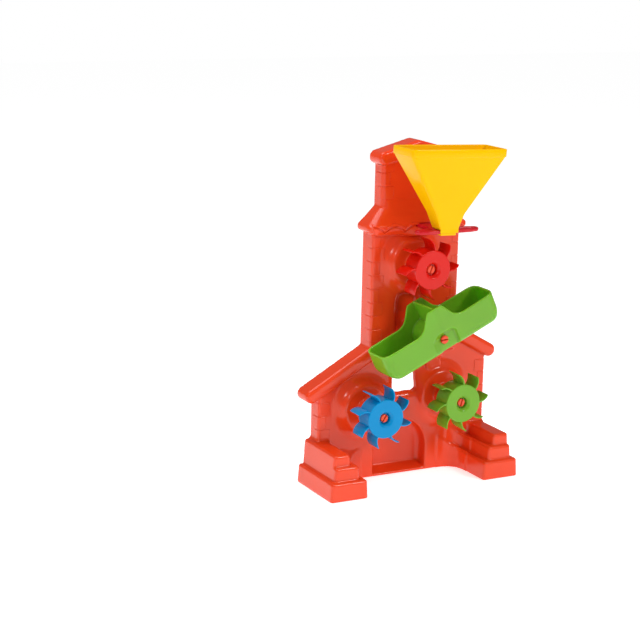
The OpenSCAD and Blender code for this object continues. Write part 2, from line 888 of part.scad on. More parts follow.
// The long slot in an ear
module ear_slot(side) {
    hull() {
        translate([side * (holder_l / 2 - ear_r), 0])
            circle(r = ear_slot_r, $fn = hull_fn);
        translate([side * (spout_w / 2 + 2 * rail_w), 0])
            circle(r = ear_r - rail_w / 2, $fn = hull_fn);
    }
}

// The funnel holder: a plate round the spout with two looped ears and a tongue into the tower
module funnel_holder() {
    hole_w = spout_plug_w + 2 * plug_slack;
    hole_d = spout_plug_d + 2 * plug_slack;
    back_len = spout_mid_out - tongue_end_out;
    front_trim = holder_d / 2 - spout_d / 2 + apron_t + plug_slack;
    shift = spout_x - holder_x;
    color(holder_colour)
        translate([holder_x, at(spout_mid_out), holder_top_z - holder_t])
            difference() {
                union() {
                    linear_extrude(holder_t) {
                        translate([shift, 0])
                            square([spout_w + 2 * rail_w, holder_d], center = true);
                        ear(-1);
                        ear(1);
                    }
                    translate([shift - tongue_w / 2, 0, 0])
                        cube([tongue_w, back_len, holder_t]);
                }
                translate([shift - hole_w / 2, -hole_d / 2, -overrun])
                    cube([hole_w, hole_d, holder_t + 2 * overrun]);
                translate([0, 0, -overrun])
                    linear_extrude(holder_t + 2 * overrun) {
                        ear_slot(-1);
                        ear_slot(1);
                    }
                translate([-holder_l, -holder_d, -overrun])
                    cube([2 * holder_l, holder_d / 2 + front_trim, holder_t + 2 * overrun]);
            }
}

module top_wheel() {
    wheel(top_wheel_x, top_wheel_z, top_wheel_turn, top_wheel_colour);
}

module left_wheel() {
    wheel(-left_wheel_x, left_wheel_z, left_wheel_turn, left_wheel_colour);
}

module right_wheel() {
    wheel(right_wheel_x, right_wheel_z, right_wheel_turn, right_wheel_colour);
}

module top_axle() {
    axle(top_wheel_x, top_wheel_z, wheel_collar_out - collar_end_t, hub_end_out);
}

module left_axle() {
    axle(-left_wheel_x, left_wheel_z, wheel_collar_out - collar_end_t, hub_end_out);
}

module right_axle() {
    axle(right_wheel_x, right_wheel_z, wheel_collar_out - collar_end_t, hub_end_out);
}

module trough_axle() {
    axle(pivot_x, pivot_z, trough_collar_out - collar_end_t, plate_out);
}

body_shell();
funnel();
funnel_holder();
top_wheel();
left_wheel();
right_wheel();
trough();
top_axle();
left_axle();
right_axle();
trough_axle();
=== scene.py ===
# Sand wheel toy: an open-backed moulded house with a lift-off funnel, three bladed wheels and a
# tipping trough, dressed over its own solids. Blender units are metres; the shape fields below
# work in millimetres, measured across (x), out from the house front (o) and up (z).
import math

import bmesh
import bpy
import numpy as np
from mathutils import Matrix, Vector


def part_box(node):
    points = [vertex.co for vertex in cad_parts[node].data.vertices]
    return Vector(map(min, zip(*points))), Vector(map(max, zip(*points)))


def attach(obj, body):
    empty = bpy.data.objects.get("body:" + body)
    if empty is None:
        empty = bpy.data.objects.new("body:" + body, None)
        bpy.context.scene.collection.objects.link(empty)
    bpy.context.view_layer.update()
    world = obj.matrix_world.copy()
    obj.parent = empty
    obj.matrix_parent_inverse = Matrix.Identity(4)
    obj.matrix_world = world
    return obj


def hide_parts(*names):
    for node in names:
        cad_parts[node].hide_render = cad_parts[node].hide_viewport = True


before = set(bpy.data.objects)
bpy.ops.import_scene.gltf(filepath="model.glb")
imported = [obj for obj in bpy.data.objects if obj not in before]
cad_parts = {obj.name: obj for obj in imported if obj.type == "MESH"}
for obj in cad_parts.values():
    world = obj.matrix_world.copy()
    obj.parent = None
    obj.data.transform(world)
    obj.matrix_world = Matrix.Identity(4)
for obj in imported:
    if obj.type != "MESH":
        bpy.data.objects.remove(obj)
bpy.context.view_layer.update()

MM = 0.001
TINY = 1e-9

# The house in millimetres, as in the part's source
BODY_DEPTH = 20.0
WALL = 3.0
HOUSE_LEFT = 108.0
HOUSE_RIGHT = 114.0
EAVE_X = 118.0
LEFT_EAVE_Z = 107.0
RIGHT_EAVE_Z = 139.5
ROOF_T = 16.0
ROOF_SLOPE = math.radians(29.5)
ROOF_OUT = 6.0
TOWER_X = 11.5
TOWER_HALF = 57.0
TOWER_OUT = 4.5
TOWER_FOOT_Z = 146.0
SHOULDER_Z = 287.0
SHOULDER_HALF = 64.5
SHOULDER_OUT = 12.0
SHOULDER_FLARE = 7.0
SHOULDER_DROP = 2.5
SHOULDER_BAND_Z = 299.5
SHOULDER_TOP_Z = 319.5
NECK_HALF = 43.5
NECK_IN = 1.0
NECK_CURVE = ((9.2, 303.2), (6.0, 308.0), (3.4, 313.5), (1.2, 320.0), (-0.4, 327.0), (-1.0, 333.0))
APEX_Z = 395.0
ROLL_HALF = 43.5
ROLL_R = 7.7
TOP_SLOPE = math.radians(15)
RIDGE_Z = APEX_Z - ROLL_R / math.cos(TOP_SLOPE)
ROLL_Z = RIDGE_Z - ROLL_HALF * math.tan(TOP_SLOPE)
FOOT_OUTER = 124.0
FOOT_INNER = 76.5
FOOT_OUT = 65.5
FOOT_STEPS = ((22.0, 0.0, 0.0), (38.0, 7.5, 5.5), (51.0, 15.5, 5.5))
FOOT_LEAN = 3.5
FRONT_STEP = 5.0
SWEEPS = ((77.0, 24.0, 25.0, 0.58), (84.5, 20.0, 39.0, 0.75))
DOOR_HALF = 35.0
DOOR_TOP = 66.0
DOOR_DEPTH = 15.5
DOORSTEP = 2.5
DOOR_RAMP = 0.4
CHANNEL_X = 5.0
CHANNEL_HALF = 14.5
CHANNEL_TOP = 222.0
CHANNEL_DEPTH = 12.0
WINDOW_Z = 99.0
WINDOW_H = 29.0
WINDOW_R = 5.0
PAD = (41.0, 131.0)
PAD_R = 10.0
PAD_OUT = 4.0
STONE_PITCH = 15.8
STONE_LONG = 14.5
STONE_SHORT = 9.5
STONE_PROUD = 0.42
JOINT = 1.2
EDGES = (
    ("tower_stones_left", TOWER_X - TOWER_HALF, -1, TOWER_OUT, 163.6, 8),
    ("tower_stones_right", TOWER_X + TOWER_HALF, 1, TOWER_OUT, 163.6, 8),
    ("wing_stones_left", -HOUSE_LEFT, -1, 0, 50.2, 3),
    ("wing_stones_right", HOUSE_RIGHT, 1, 0, 50.2, 5),
    ("neck_stones_left", TOWER_X - NECK_HALF, -1, -NECK_IN, 327.5, 3),
    ("neck_stones_right", TOWER_X + NECK_HALF, 1, -NECK_IN, 327.5, 3),
)
SCALLOP_X = -8.6
SCALLOP_Z = 291.4
SCALLOP_W = 26.2
SCALLOP_H = 6.2
SCALLOP_LINES = ((-99.0, 0.0), (1.5, 3.4))
SCALLOP_PROUD = 1.4
STONE_EDGE_R = 0.35
STONE_BOX_OUT = 1.5
STONE_BOX_END = 0.5
SCALLOP_ROUND = 1.8
SCALLOP_FACTOR = 0.75
SCALLOP_AREA_UP = 8.0
SCALLOP_AREA_HALF = 8.5
SCALLOP_ENDS = 4.0
SCALLOP_BACK = 6.0
SCALLOP_EDGE_R = 0.3
SCALLOP_END_R = 0.4
RELIEF_ROOT = 0.7

# How far the house's outlines run on, and the soft edges, fillets and mouths between its forms
WING_ROOT = 40.0
FOOT_ROOT = 20.0
SHOULDER_ROOT = 90.0
TOWER_LAP = 8.0
WALL_EDGE_R = 2.5
TOWER_CORNER_R = 2.0
TOWER_FILLET = 4.0
ROOF_EDGE_R = 5.0
ROOF_FILLET = 1.0
TOP_ROOF_EDGE_R = 3.5
TOP_ROOF_FILLET = 1.5
NECK_EDGE_R = 4.0
NECK_FILLET = 0.8
SHOULDER_CORNER_R = 1.5
SHOULDER_EDGE_R = 7.0
FOOT_CORNER_R = 2.5
FOOT_EDGE_R = 3.2
FOOT_FILLET = 5.0
WEB_PROUD = 0.6
WEB_LAP = 3.0
WEB_TOPS = (36.0, 60.0)
WEB_EDGE_R = 3.5
WEB_FILLET = 4.0
DOOR_BACK_R = 6.0
DOOR_SILL_R = 2.0
DOOR_MOUTH_R = 1.5
CHANNEL_FOOT_R = 2.0
CHANNEL_BACK_R = 7.0
CHANNEL_MOUTH_R = 8.0
WINDOW_MOUTH_R = 1.4
PAD_EDGE_R = 1.5
PAD_FILLET = 2.0
GROUND_EDGE_R = 1.5
BACK_EDGE_R = 0.6

# Where fillets would leave the wall thinner than its grid, its inner side is thicker
BACKING_FADE = 8.0
SHOULDER_BACKING = 1.3
SHOULDER_BACKING_UP = 8.0
SHOULDER_BACKING_REACH = 26.0
BOSS_BACKING = 1.6
BOSS_BACKING_REACH = 24.0
FOOT_BACKING = 2.0
FOOT_BACKING_X = 60.0
FOOT_BACKING_REACH = 24.0
FOOT_BACKING_TOP = 66.0

# Wheels, bosses, collars and pins
WHEEL_R = 22.5
TIP_R = 35.0
WHEEL_DEPTH = 24.0
WHEEL_OUT = 55.0
BLADE_T = 1.8
BLADE_CURVE_R = 14.0
BLADE_BACK = 0.5
BLADES = 8
DISH_R = 9.5
DISH_FLARE = 2.5
DISH_FLOOR_R = 6.7
DISH_DEPTH = 7.0
BOSS_RIM_R = 26.5
BOSS_FILLET = 17.0
BOSS_H = 8.5
COLLAR_R = 13.0
COLLAR_OUT = 30.7
COLLAR_END = 4.0
AXLE_R = 4.0
SPIN_GAP = 0.1
HEAD_R = 4.8
HEAD_H = 3.0
HEAD_SLOT = 1.4
SLOT_DEPTH = 6.0
FLANGE_R = 7.5
FLANGE_T = 2.0
FACE_GAP = 0.3
TRIM_GAP = 1.5
BORE_GAP = 0.05
BORE_EDGE_R = 0.3
BOSS_EDGE_R = 1.2
COLLAR_EDGE_R = 1.0
COLLAR_FILLET = 2.5
DRUM_WALL = 2.0
HUB_WALL = 3.0
DRUM_EDGE_R = 0.9
DRUM_BACK_R = 0.6
DRUM_ROOM_R = 1.0
DRUM_MOUTH_R = 0.3
DISH_MOUTH_R = 0.7
DISH_FACTOR = 0.75
FLANGE_EDGE_R = 0.3
HEAD_EDGE_R = 1.2
SPLIT_EDGE_R = 0.25
BLADE_ROOT = 1.0
BLADE_REAR = 0.3
BLADE_TAPER = 0.35
BLADE_TRIM = 0.8
BLADE_TRIM_FROM = 0.8
BLADE_TRIM_RUN = 0.2
BLADE_STATIONS = 14
BLADE_EDGE_R = 0.45
BLADE_EDGE_TURN = 0.6

# The trough about its pivot
PIVOT = (15.0, 176.5)
TILT = math.radians(25)
TROUGH_HALF = 78.0
TROUGH_OUT = 71.0
TROUGH_BACK = 25.0
RIM_UP = 20.0
FLOOR_DOWN = 13.5
HUMP_UP = 41.0
HUMP_TOP_HALF = 10.0
HUMP_BASE_HALF = 23.5
HUMP_R = 4.5
TROUGH_WALL = 2.0
END_R = 17.0
CORNER_R = 13.0
LONG_EDGE_R = 5.5
VAULT_R = 16.5
PLATE_OUT = 66.0
PLATE_T = 2.5
TUBE_WALL = 3.0
PEG_SIDE = 18.0
PEG_R = 4.0
PEG_OUT = 30.0
PEG_GAP = 0.1
PEG_EDGE_R = 0.8
PEG_FILLET = 1.0
BOWL_RUN = 40.0
HUMP_ROOT = 12.0
HUMP_FILLET = 7.0
VAULT_EDGE_R = 2.0
VAULT_MOUTH_R = 1.5
RECESS_DOWN = 20.0
RECESS_HALF = 31.0
RECESS_SIDE = 0.5
RECESS_CORNER_R = 9.0
RECESS_EDGE_R = 3.5
RECESS_MOUTH_R = 1.2
RECESS_FLAT = 5.0
RECESS_LEFT_RISE = 0.42
RECESS_TOP_RISE = 0.7
RECESS_FACTOR = 0.85
END_BACKING = 0.9
END_BACKING_FROM = 55.0
END_BACKING_FADE = 10.0
DIVIDE_FILLET = 1.0
PLATE_LAP = 1.0
PLATE_DOWN = 12.0
PLATE_FILLET = 1.2
RIM_EDGE_R = 0.8
TUBE_FILLET = 1.0
TROUGH_SPLIT = 0.1

# Wheel axes: across, up, and the turn of the first blade. The top one keeps its blades off the hump.
TOP_WHEEL_X = 4.5
SWING = math.hypot(HUMP_TOP_HALF, HUMP_UP) + TRIM_GAP + TIP_R
TOP_WHEEL_Z = PIVOT[1] + math.sqrt(SWING ** 2 - (PIVOT[0] - TOP_WHEEL_X) ** 2)
LEFT_WHEEL = (-50.5, 87.0, 19.5)
RIGHT_WHEEL = (51.5, 94.0, -2.0)
TOP_WHEEL = (TOP_WHEEL_X, TOP_WHEEL_Z, -6.5)
WHEEL_PLACES = (LEFT_WHEEL, RIGHT_WHEEL, TOP_WHEEL)

# Each wheel's solid, place, body and finish, and the turn of its pin's split
WHEELS = (
    ("left_wheel", LEFT_WHEEL, "lower_left_wheel", "blue wheel", 1.0),
    ("right_wheel", RIGHT_WHEEL, "lower_right_wheel", "green wheel", 1.3),
    ("top_wheel", TOP_WHEEL, "upper_wheel", "red wheel", 1.2),
)

# The funnel and its holder
FUNNEL_X = 18.5
FUNNEL_OUT = 54.5
FUNNEL_W = 123.0
FUNNEL_D = 47.0
FUNNEL_TOP = 392.5
FUNNEL_LEAN = math.radians(2)
BAND_H = 9.0
FUNNEL_WALL = 2.0
SPOUT_X = 20.0
SPOUT_OUT = 52.0
SPOUT_W = 24.0
SPOUT_D = 20.0
SEAT_Z = 301.0
BEND_W = 37.0
BEND_UP = 17.0
NECK_DOWN = 7.0
LIP_DROP = 4.0
LIP_LAP = 3.0
LIP_SIDE = 0.3
LIP_T = 1.6
LIP_CORNER_R = 0.8
LIP_EDGE_R = 0.6
SEAT_GAP = 0.1
SEAT_LAP = 1.7
HOLDER_X = 22.5
HOLDER_TOP = SEAT_Z - SPOUT_W / 2 * math.sin(FUNNEL_LEAN) - SEAT_GAP
HOLDER_L = 81.0
HOLDER_T = 4.6
HOLDER_D = 29.0
TONGUE_HALF = 13.0
RAIL_W = 4.0
EAR_R = 6.5
EAR_SLOT_R = 3.0
HOLDER_CORNER_R = 1.5
HOLDER_FILLET = 1.0
HOLDER_EDGE_R = 1.8
TONGUE_RUN = 26.0
TONGUE_GAP = 0.2
TONGUE_FILLET = 2.0
EAR_SLOT_EDGE_R = 1.5
HOLE_R = 0.6
HOLE_EDGE_R = 0.3

# The funnel's skin, ring by ring up the outside, over the rim and down the inside: its stretch,
# what its width and depth lose there, the corners' radius, its level and the height over that
FUNNEL_SKIN = (
    ("spout", 4.0, 4.0, 1.0, "plug", 0.4),
    ("spout", 4.0, 4.0, 1.0, "seat", -0.1),
    ("spout", 4.0, 4.0, 1.0, "seat", 0.0),
    ("spout", 0.6, 0.6, 1.8, "seat", 0.0),
    ("spout", 0.0, 0.0, 2.0, "seat", 0.4),
    ("spout", -0.3, -0.1, 2.0, "seat", 1.2),
    ("bend", 0.8, 0.3, 3.0, "bend", -1.0),
    ("bend", -0.9, -0.3, 3.0, "bend", 1.0),
    ("rim", 3.2, 2.3, 4.6, "band", -1.0),
    ("rim", 2.2, 1.9, 4.8, "band", 0.0),
    ("rim", 0.6, 0.5, 5.0, "band", 0.3),
    ("rim", 0.1, 0.1, 5.0, "band", 1.0),
    ("rim", 0.0, 0.0, 5.0, "top", -0.9),
    ("rim", 0.5, 0.5, 4.8, "top", -0.25),
    ("rim", 1.2, 1.2, 4.4, "top", 0.0),
    ("rim", 2.8, 2.8, 3.8, "top", 0.0),
    ("rim", 3.7, 3.7, 3.3, "top", -0.4),
    ("rim inside", 0.0, 0.0, 3.0, "top", -1.0),
    ("rim inside", 0.0, 0.0, 3.0, "band", 0.6),
    ("rim inside", 1.4, 0.8, 3.0, "band", -0.6),
    ("bend inside", -0.4, -0.2, 2.0, "bend", 1.0),
    ("bend inside", 0.6, 0.2, 2.0, "bend", -1.0),
    ("spout", 6.6, 6.6, 0.8, "seat", 0.5),
    ("spout", 6.8, 6.8, 0.8, "plug", 0.4),
    ("spout", 6.2, 6.2, 0.8, "plug", 0.0),
    ("spout", 4.6, 4.6, 0.8, "plug", 0.0),
)

# The steps of the grids that the fields are drawn on, and the boxes of the larger pieces
HOUSE_GRID = 1.7
STONE_GRID = 0.6
SCALLOP_GRID = 0.55
TROUGH_GRID = 1.05
DRUM_GRID = 0.72
PIN_GRID = 0.4
LIP_GRID = 0.45
HOLDER_GRID = 0.62
GRID_BEFORE = 1.5
GRID_AFTER = 2
HOUSE_BOX = ((-127, -21, -1), (127, 67, 397))
TROUGH_BOX = ((-66, 24, 129), (94, 72, 232))
HOLDER_BOX = ((HOLDER_X - 41, 1, 295), (HOLDER_X + 41, 68, 301.5))
BOX_ROOM = 1.0

# How points settle on a surface: rounds, the share of a step to feel its slope, the least slope
SETTLE_ROUNDS = 3
SLOPE_SHARE = 0.25
LEAST_SLOPE = 0.2

# The front of the house across the frame, read from the shell's own box
FRONT_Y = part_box("body_shell")[1].y / MM - BODY_DEPTH

# The photograph's view: where the camera stands and how it is turned
CAMERA_AT = (-955.76, -1601.59, 622.85)
CAMERA_YAW = -27.449
CAMERA_PITCH = 13.091
CAMERA_ROLL = 1.154
CAMERA_LENS = 94.1
SENSOR_WIDTH = 36.0
CLIP_START = 0.05

# The studio: how strong the white room is as a light and in what shines, the floor and the lights
WHITE = (1, 1, 1, 1)
ROOM_LIGHT = 0.45
ROOM_SHINE = 0.2
FLOOR_SIZE = 12
FLOOR_GREY = (0.95, 0.95, 0.95, 1)
FLOOR_ROUGHNESS = 0.9
FLOOR_LIGHT = 0.56
AIM = (0, 0, 0.2)
LIGHTS = (
    ("front key", (0.85, -1.5, 1.35), 0.4, 14),
    ("left fill", (-1.4, -1.1, 1.2), 0.25, 5),
    ("top light", (-0.4, 0.2, 1.6), 0.9, 10),
)

# Each plastic's colour on a screen, the share of light that goes into it, its shine, and how far
# the red, green and blue of that light go
REACH = (1.0, 0.4, 0.25)
FINISHES = {
    "orange red shell": ((233, 68, 30), 0.1, 0.42, REACH),
    "orange red pin": ((232, 78, 46), 0.1, 0.36, REACH),
    "red wheel": ((212, 26, 14), 0.1, 0.3, REACH),
    "blue wheel": ((0, 136, 196), 0.0, 0.18, REACH),
    "green wheel": ((110, 166, 44), 0.1, 0.3, REACH),
    "green trough": ((112, 168, 38), 0.75, 0.4, (1.6, 3.2, 0.8)),
    "yellow funnel": ((247, 187, 0), 0.1, 0.1, REACH),
    "crimson holder": ((196, 22, 36), 0.1, 0.36, REACH),
}
GLOW_DEPTH = 0.003
PLASTIC_IOR = 1.5
SCREEN_FULL = 255
SCREEN_GAMMA = 2.2
DRIFT = 0.05
DRIFT_SCALE = 22.0
DRIFT_DETAIL = 2.0
GRAIN_SCALE = 900.0
GRAIN_DETAIL = 3.0
GRAIN_STRENGTH = 0.06
GRAIN_HEIGHT = 0.0004
NOISE_RANGE = (0.3, 0.7)
ROUGHNESS_RANGE = (0.16, 0.22)


# Distances to shapes, negative inside

def box2(u, v, half_u, half_v, r=0.0):
    """Distance to a rectangle with rounded corners."""
    a = np.abs(u) - half_u + r
    b = np.abs(v) - half_v + r
    return np.hypot(np.maximum(a, 0), np.maximum(b, 0)) + np.minimum(np.maximum(a, b), 0) - r


def bar2(u, v, a, b, r):
    """Distance to a rod from a to b in a plane."""
    ab = (b[0] - a[0], b[1] - a[1])
    t = ((u - a[0]) * ab[0] + (v - a[1]) * ab[1]) / (ab[0] ** 2 + ab[1] ** 2)
    t = np.clip(t, 0, 1)
    return np.hypot(u - a[0] - t * ab[0], v - a[1] - t * ab[1]) - r


def shape2(u, v, corners):
    """Distance to a closed outline with straight sides."""
    best = None
    inside = None
    for (ax, ay), (bx, by) in zip(corners, corners[1:] + corners[:1]):
        ex, ey = bx - ax, by - ay
        wu, wv = u - ax, v - ay
        t = np.clip((wu * ex + wv * ey) / (ex * ex + ey * ey), 0, 1)
        d = (wu - t * ex) ** 2 + (wv - t * ey) ** 2
        best = d if best is None else np.minimum(best, d)
        above = (ay <= v) != (by <= v)
        slope = (bx - ax) / (by - ay if by != ay else TINY)
        cross = above & (u < slope * (v - ay) + ax)
        inside = cross if inside is None else inside ^ cross
    return np.where(inside, -1.0, 1.0) * np.sqrt(best)


def both(a, b, r=0.0):
    """Where both shapes are, with the outer edge rounded."""
    if np.ndim(r) == 0 and not r:
        return np.maximum(a, b)
    inner = np.minimum(np.maximum(a + r, b + r), 0)
    return inner + np.hypot(np.maximum(a + r, 0), np.maximum(b + r, 0)) - r


def either(a, b, r=0.0):
    """Where either shape is, with the inner corner filleted."""
    return -both(-a, -b, r)


def without(a, b, r=0.0):
    """The first shape with the second taken out of it."""
    return both(a, -b, r)


# Meshes from fields: the surface through a grid of distances, drawn onto the field itself

def slope(field, points, reach):
    """How the field changes across, outwards and upwards at each point."""
    grad = np.empty_like(points)
    for axis in range(3):
        step = np.zeros(3)
        step[axis] = reach
        ahead = field(*(points + step).T)
        behind = field(*(points - step).T)
        grad[:, axis] = (ahead - behind) / (2 * reach)
    return grad


def settle(field, points, reach):
    """Moves points onto the surface where the field is zero, by one step at most in a round."""
    for _ in range(SETTLE_ROUNDS):
        grad = slope(field, points, reach * SLOPE_SHARE)
        size = np.maximum((grad ** 2).sum(1), LEAST_SLOPE)
        move = -(field(*points.T) / size)[:, None] * grad
        length = np.linalg.norm(move, axis=1, keepdims=True)
        points = points + move * np.minimum(1, reach / np.maximum(length, TINY))
    return points


def net(field, low, high, step):
    """Corners and four-sided faces of the field's surface inside a box."""
    axes = [np.arange(a - GRID_BEFORE * step, b + GRID_AFTER * step, step) for a, b in zip(low, high)]
    x, o, z = np.meshgrid(*axes, indexing="ij", sparse=True)
    values = np.broadcast_to(field(x, o, z), [len(a) for a in axes]).astype(np.float32)
    inside = values < 0
    cells = tuple(n - 1 for n in values.shape)
    count = np.zeros(cells, np.int8)
    for i in (0, 1):
        for j in (0, 1):
            for k in (0, 1):
                count += inside[i:i + cells[0], j:j + cells[1], k:k + cells[2]]
    active = (count > 0) & (count < 8)
    number = np.full(cells, -1, np.int64)
    number[active] = np.arange(active.sum())
    total = np.zeros((int(active.sum()), 3))
    hits = np.zeros(int(active.sum()))
    quads = []
    for axis in range(3):
        first = [slice(None)] * 3
        second = [slice(None)] * 3
        first[axis], second[axis] = slice(0, -1), slice(1, None)
        cross = np.argwhere(inside[tuple(first)] != inside[tuple(second)])
        ahead = cross.copy()
        ahead[:, axis] += 1
        f0, f1 = values[tuple(cross.T)], values[tuple(ahead.T)]
        spot = cross.astype(float)
        spot[:, axis] += f0 / (f0 - f1)
        b, c = (axis + 1) % 3, (axis + 2) % 3
        ring = []
        for db, dc in ((-1, -1), (0, -1), (0, 0), (-1, 0)):
            cell = cross.copy()
            cell[:, b] += db
            cell[:, c] += dc
            keep = ((cell >= 0) & (cell < np.array(cells))).all(1)
            ids = np.full(len(cell), -1, np.int64)
            ids[keep] = number[tuple(cell[keep].T)]
            live = ids >= 0
            np.add.at(total, ids[live], spot[live])
            np.add.at(hits, ids[live], 1)
            ring.append(ids)
        faces = np.stack(ring, 1)
        solid_first = inside[tuple(cross.T)]
        faces[~solid_first] = faces[~solid_first][:, ::-1]
        quads.append(faces[(faces >= 0).all(1)])
    points = total / hits[:, None] * step + np.array([a[0] for a in axes])
    return points, np.concatenate(quads)


def to_frame(points):
    """Points across, outwards and up in millimetres as places in the frame in metres."""
    return np.stack([points[:, 0], FRONT_Y - points[:, 1], points[:, 2]], 1) * MM


def moulded(name, field, low, high, step):
    """A piece whose surface is where its field is zero."""
    points, faces = net(field, low, high, step)
    points = settle(field, points, step)
    return solid(name, to_frame(points), faces[:, ::-1])


def solid(name, points, faces):
    """A smooth mesh object at the origin from its corners and faces."""
    mesh = bpy.data.meshes.new(name)
    mesh.from_pydata(points.tolist(), [], [tuple(f) for f in np.asarray(faces).tolist()])
    mesh.validate()
    mesh.shade_smooth()
    piece = bpy.data.objects.new(name, mesh)
    bpy.context.scene.collection.objects.link(piece)
    return piece


# The house

def roof_line(side, x):
    """Height of the middle of a lean-to roof over a place across the house."""
    if side < 0:
        return LEFT_EAVE_Z + (x + EAVE_X) * math.tan(ROOF_SLOPE)
    return RIGHT_EAVE_Z + (EAVE_X - x) * math.tan(ROOF_SLOPE)


def wings(x, o, z):
    """The lower house on both sides of the tower."""
    corners = [(-HOUSE_LEFT, -WING_ROOT), (HOUSE_RIGHT, -WING_ROOT),
               (HOUSE_RIGHT, roof_line(1, HOUSE_RIGHT)), (TOWER_X, roof_line(1, TOWER_X)),
               (TOWER_X, roof_line(-1, TOWER_X)), (-HOUSE_LEFT, roof_line(-1, -HOUSE_LEFT))]
    return both(shape2(x, z, corners), o, WALL_EDGE_R)


def lean_roof(x, o, z, side):
    """A roof slab with its round eave and soft front edge."""
    eave = (side * EAVE_X, LEFT_EAVE_Z if side < 0 else RIGHT_EAVE_Z)
    ridge = (TOWER_X, roof_line(side, TOWER_X))
    return both(bar2(x, z, eave, ridge, ROOF_T / 2), o - ROOF_OUT, ROOF_EDGE_R)


def tower(x, o, z):
    """The tower's lower stretch."""
    middle = (TOWER_FOOT_Z + SHOULDER_Z + TOWER_LAP) / 2
    face = box2(x - TOWER_X, z - middle, TOWER_HALF, middle - TOWER_FOOT_Z, TOWER_CORNER_R)
    return both(face, o - TOWER_OUT, WALL_EDGE_R)


def neck(x, o, z):
    """The tower's upper stretch, up into the roof."""
    across = np.abs(x - TOWER_X)
    face = shape2(across, z, [(-NECK_HALF, SHOULDER_BAND_Z), (NECK_HALF, SHOULDER_BAND_Z),
                              (NECK_HALF, ROLL_Z), (0, RIDGE_Z), (-NECK_HALF, ROLL_Z)])
    return both(face, o + NECK_IN, NECK_EDGE_R)


def shoulder(x, o, z):
    """The flared ledge between the two stretches of the tower, hollow where it meets the upper one."""
    across = np.abs(x - TOWER_X)
    top = NECK_CURVE[-1][1]
    flare = SHOULDER_Z + SHOULDER_FLARE
    face = [(-SHOULDER_HALF, flare), (-TOWER_HALF, SHOULDER_Z), (TOWER_HALF, SHOULDER_Z),
            (SHOULDER_HALF, flare), (SHOULDER_HALF, SHOULDER_BAND_Z), (NECK_HALF, SHOULDER_TOP_Z),
            (NECK_HALF, top), (-NECK_HALF, top), (-SHOULDER_HALF, SHOULDER_BAND_Z)]
    side = [(-SHOULDER_ROOT, SHOULDER_Z), (TOWER_OUT, SHOULDER_Z),
            (SHOULDER_OUT, SHOULDER_Z + SHOULDER_DROP), (SHOULDER_OUT, SHOULDER_BAND_Z)]
    side += list(NECK_CURVE) + [(-SHOULDER_ROOT, top)]
    inner = both(shape2(across, z, face) + SHOULDER_CORNER_R, shape2(o, z, side) + SHOULDER_CORNER_R,
                 SHOULDER_EDGE_R)
    return inner - SHOULDER_CORNER_R


def top_roof(x, o, z):
    """The low gable of one thickness with its round eaves."""
    slab = bar2(np.abs(x - TOWER_X), z, (0, RIDGE_Z), (ROLL_HALF, ROLL_Z), ROLL_R)
    return both(slab, o - ROOF_OUT, TOP_ROOF_EDGE_R)


def foot(x, o, z):
    """Both stepped feet, each step with leaning sides and soft edges."""
    across = np.abs(x)
    lean = FOOT_LEAN / FOOT_STEPS[-1][0]
    whole = None
    for step, (top, inward, outward) in enumerate(FOOT_STEPS):
        outer = FOOT_OUTER - outward - FOOT_CORNER_R
        inner = FOOT_INNER + inward + FOOT_CORNER_R
        level = top - FOOT_CORNER_R
        tilt = lean * level
        face = shape2(across, z, [(inner, -FOOT_ROOT), (outer, -FOOT_ROOT), (outer, 0),
                                  (outer - tilt, level), (inner + tilt, level), (inner, 0)])
        block = both(face - FOOT_CORNER_R, o - FOOT_OUT + step * FRONT_STEP, FOOT_EDGE_R)
        whole = block if whole is None else either(whole, block)
    return whole


def sweep(x, o, z, start, reach, crest, climb):
    """A hollow-faced web from a foot's step to the wall, with a crest that climbs to the door."""
    across = np.abs(x)
    curve = reach - np.hypot(across - start + reach, o - reach) + WEB_PROUD
    plan = both(both(curve, start - reach - across), both(o - reach, across - start - WEB_LAP))
    top = np.minimum(crest + climb * (start - across), np.where(x < 0, *WEB_TOPS))
    return both(plan, (z - top) / math.hypot(1, climb), WEB_EDGE_R)


def boss(x, o, z, place, wall_out, ground):
    """A ground surface with a flared boss on it and the collar that carries an axle."""
    r = np.hypot(x - place[0], z - place[1])
    raised = both(r - BOSS_RIM_R, o - wall_out - BOSS_H, BOSS_EDGE_R)
    collar = both(r - COLLAR_R, o - COLLAR_OUT, COLLAR_EDGE_R)
    return either(either(ground, raised, BOSS_FILLET), collar, COLLAR_FILLET)


def door(x, o, z):
    """The space of the door arch, over a floor that climbs to the back."""
    centre = DOOR_TOP - DOOR_HALF
    arch = np.where(z > centre, np.hypot(x, z - centre), np.abs(x)) - DOOR_HALF
    floor = (DOORSTEP - DOOR_RAMP * np.minimum(o, 0) - z) / math.hypot(1, DOOR_RAMP)
    return both(both(arch, -DOOR_DEPTH - o, DOOR_BACK_R), floor, DOOR_SILL_R)


def channel(x, o, z):
    """The space of the channel behind the trough."""
    top = CHANNEL_TOP - CHANNEL_HALF
    run = np.where(z > top, np.hypot(x - CHANNEL_X, z - top), np.abs(x - CHANNEL_X)) - CHANNEL_HALF
    return both(both(run, WINDOW_Z - z, CHANNEL_FOOT_R), TOWER_OUT - CHANNEL_DEPTH - o, CHANNEL_BACK_R)


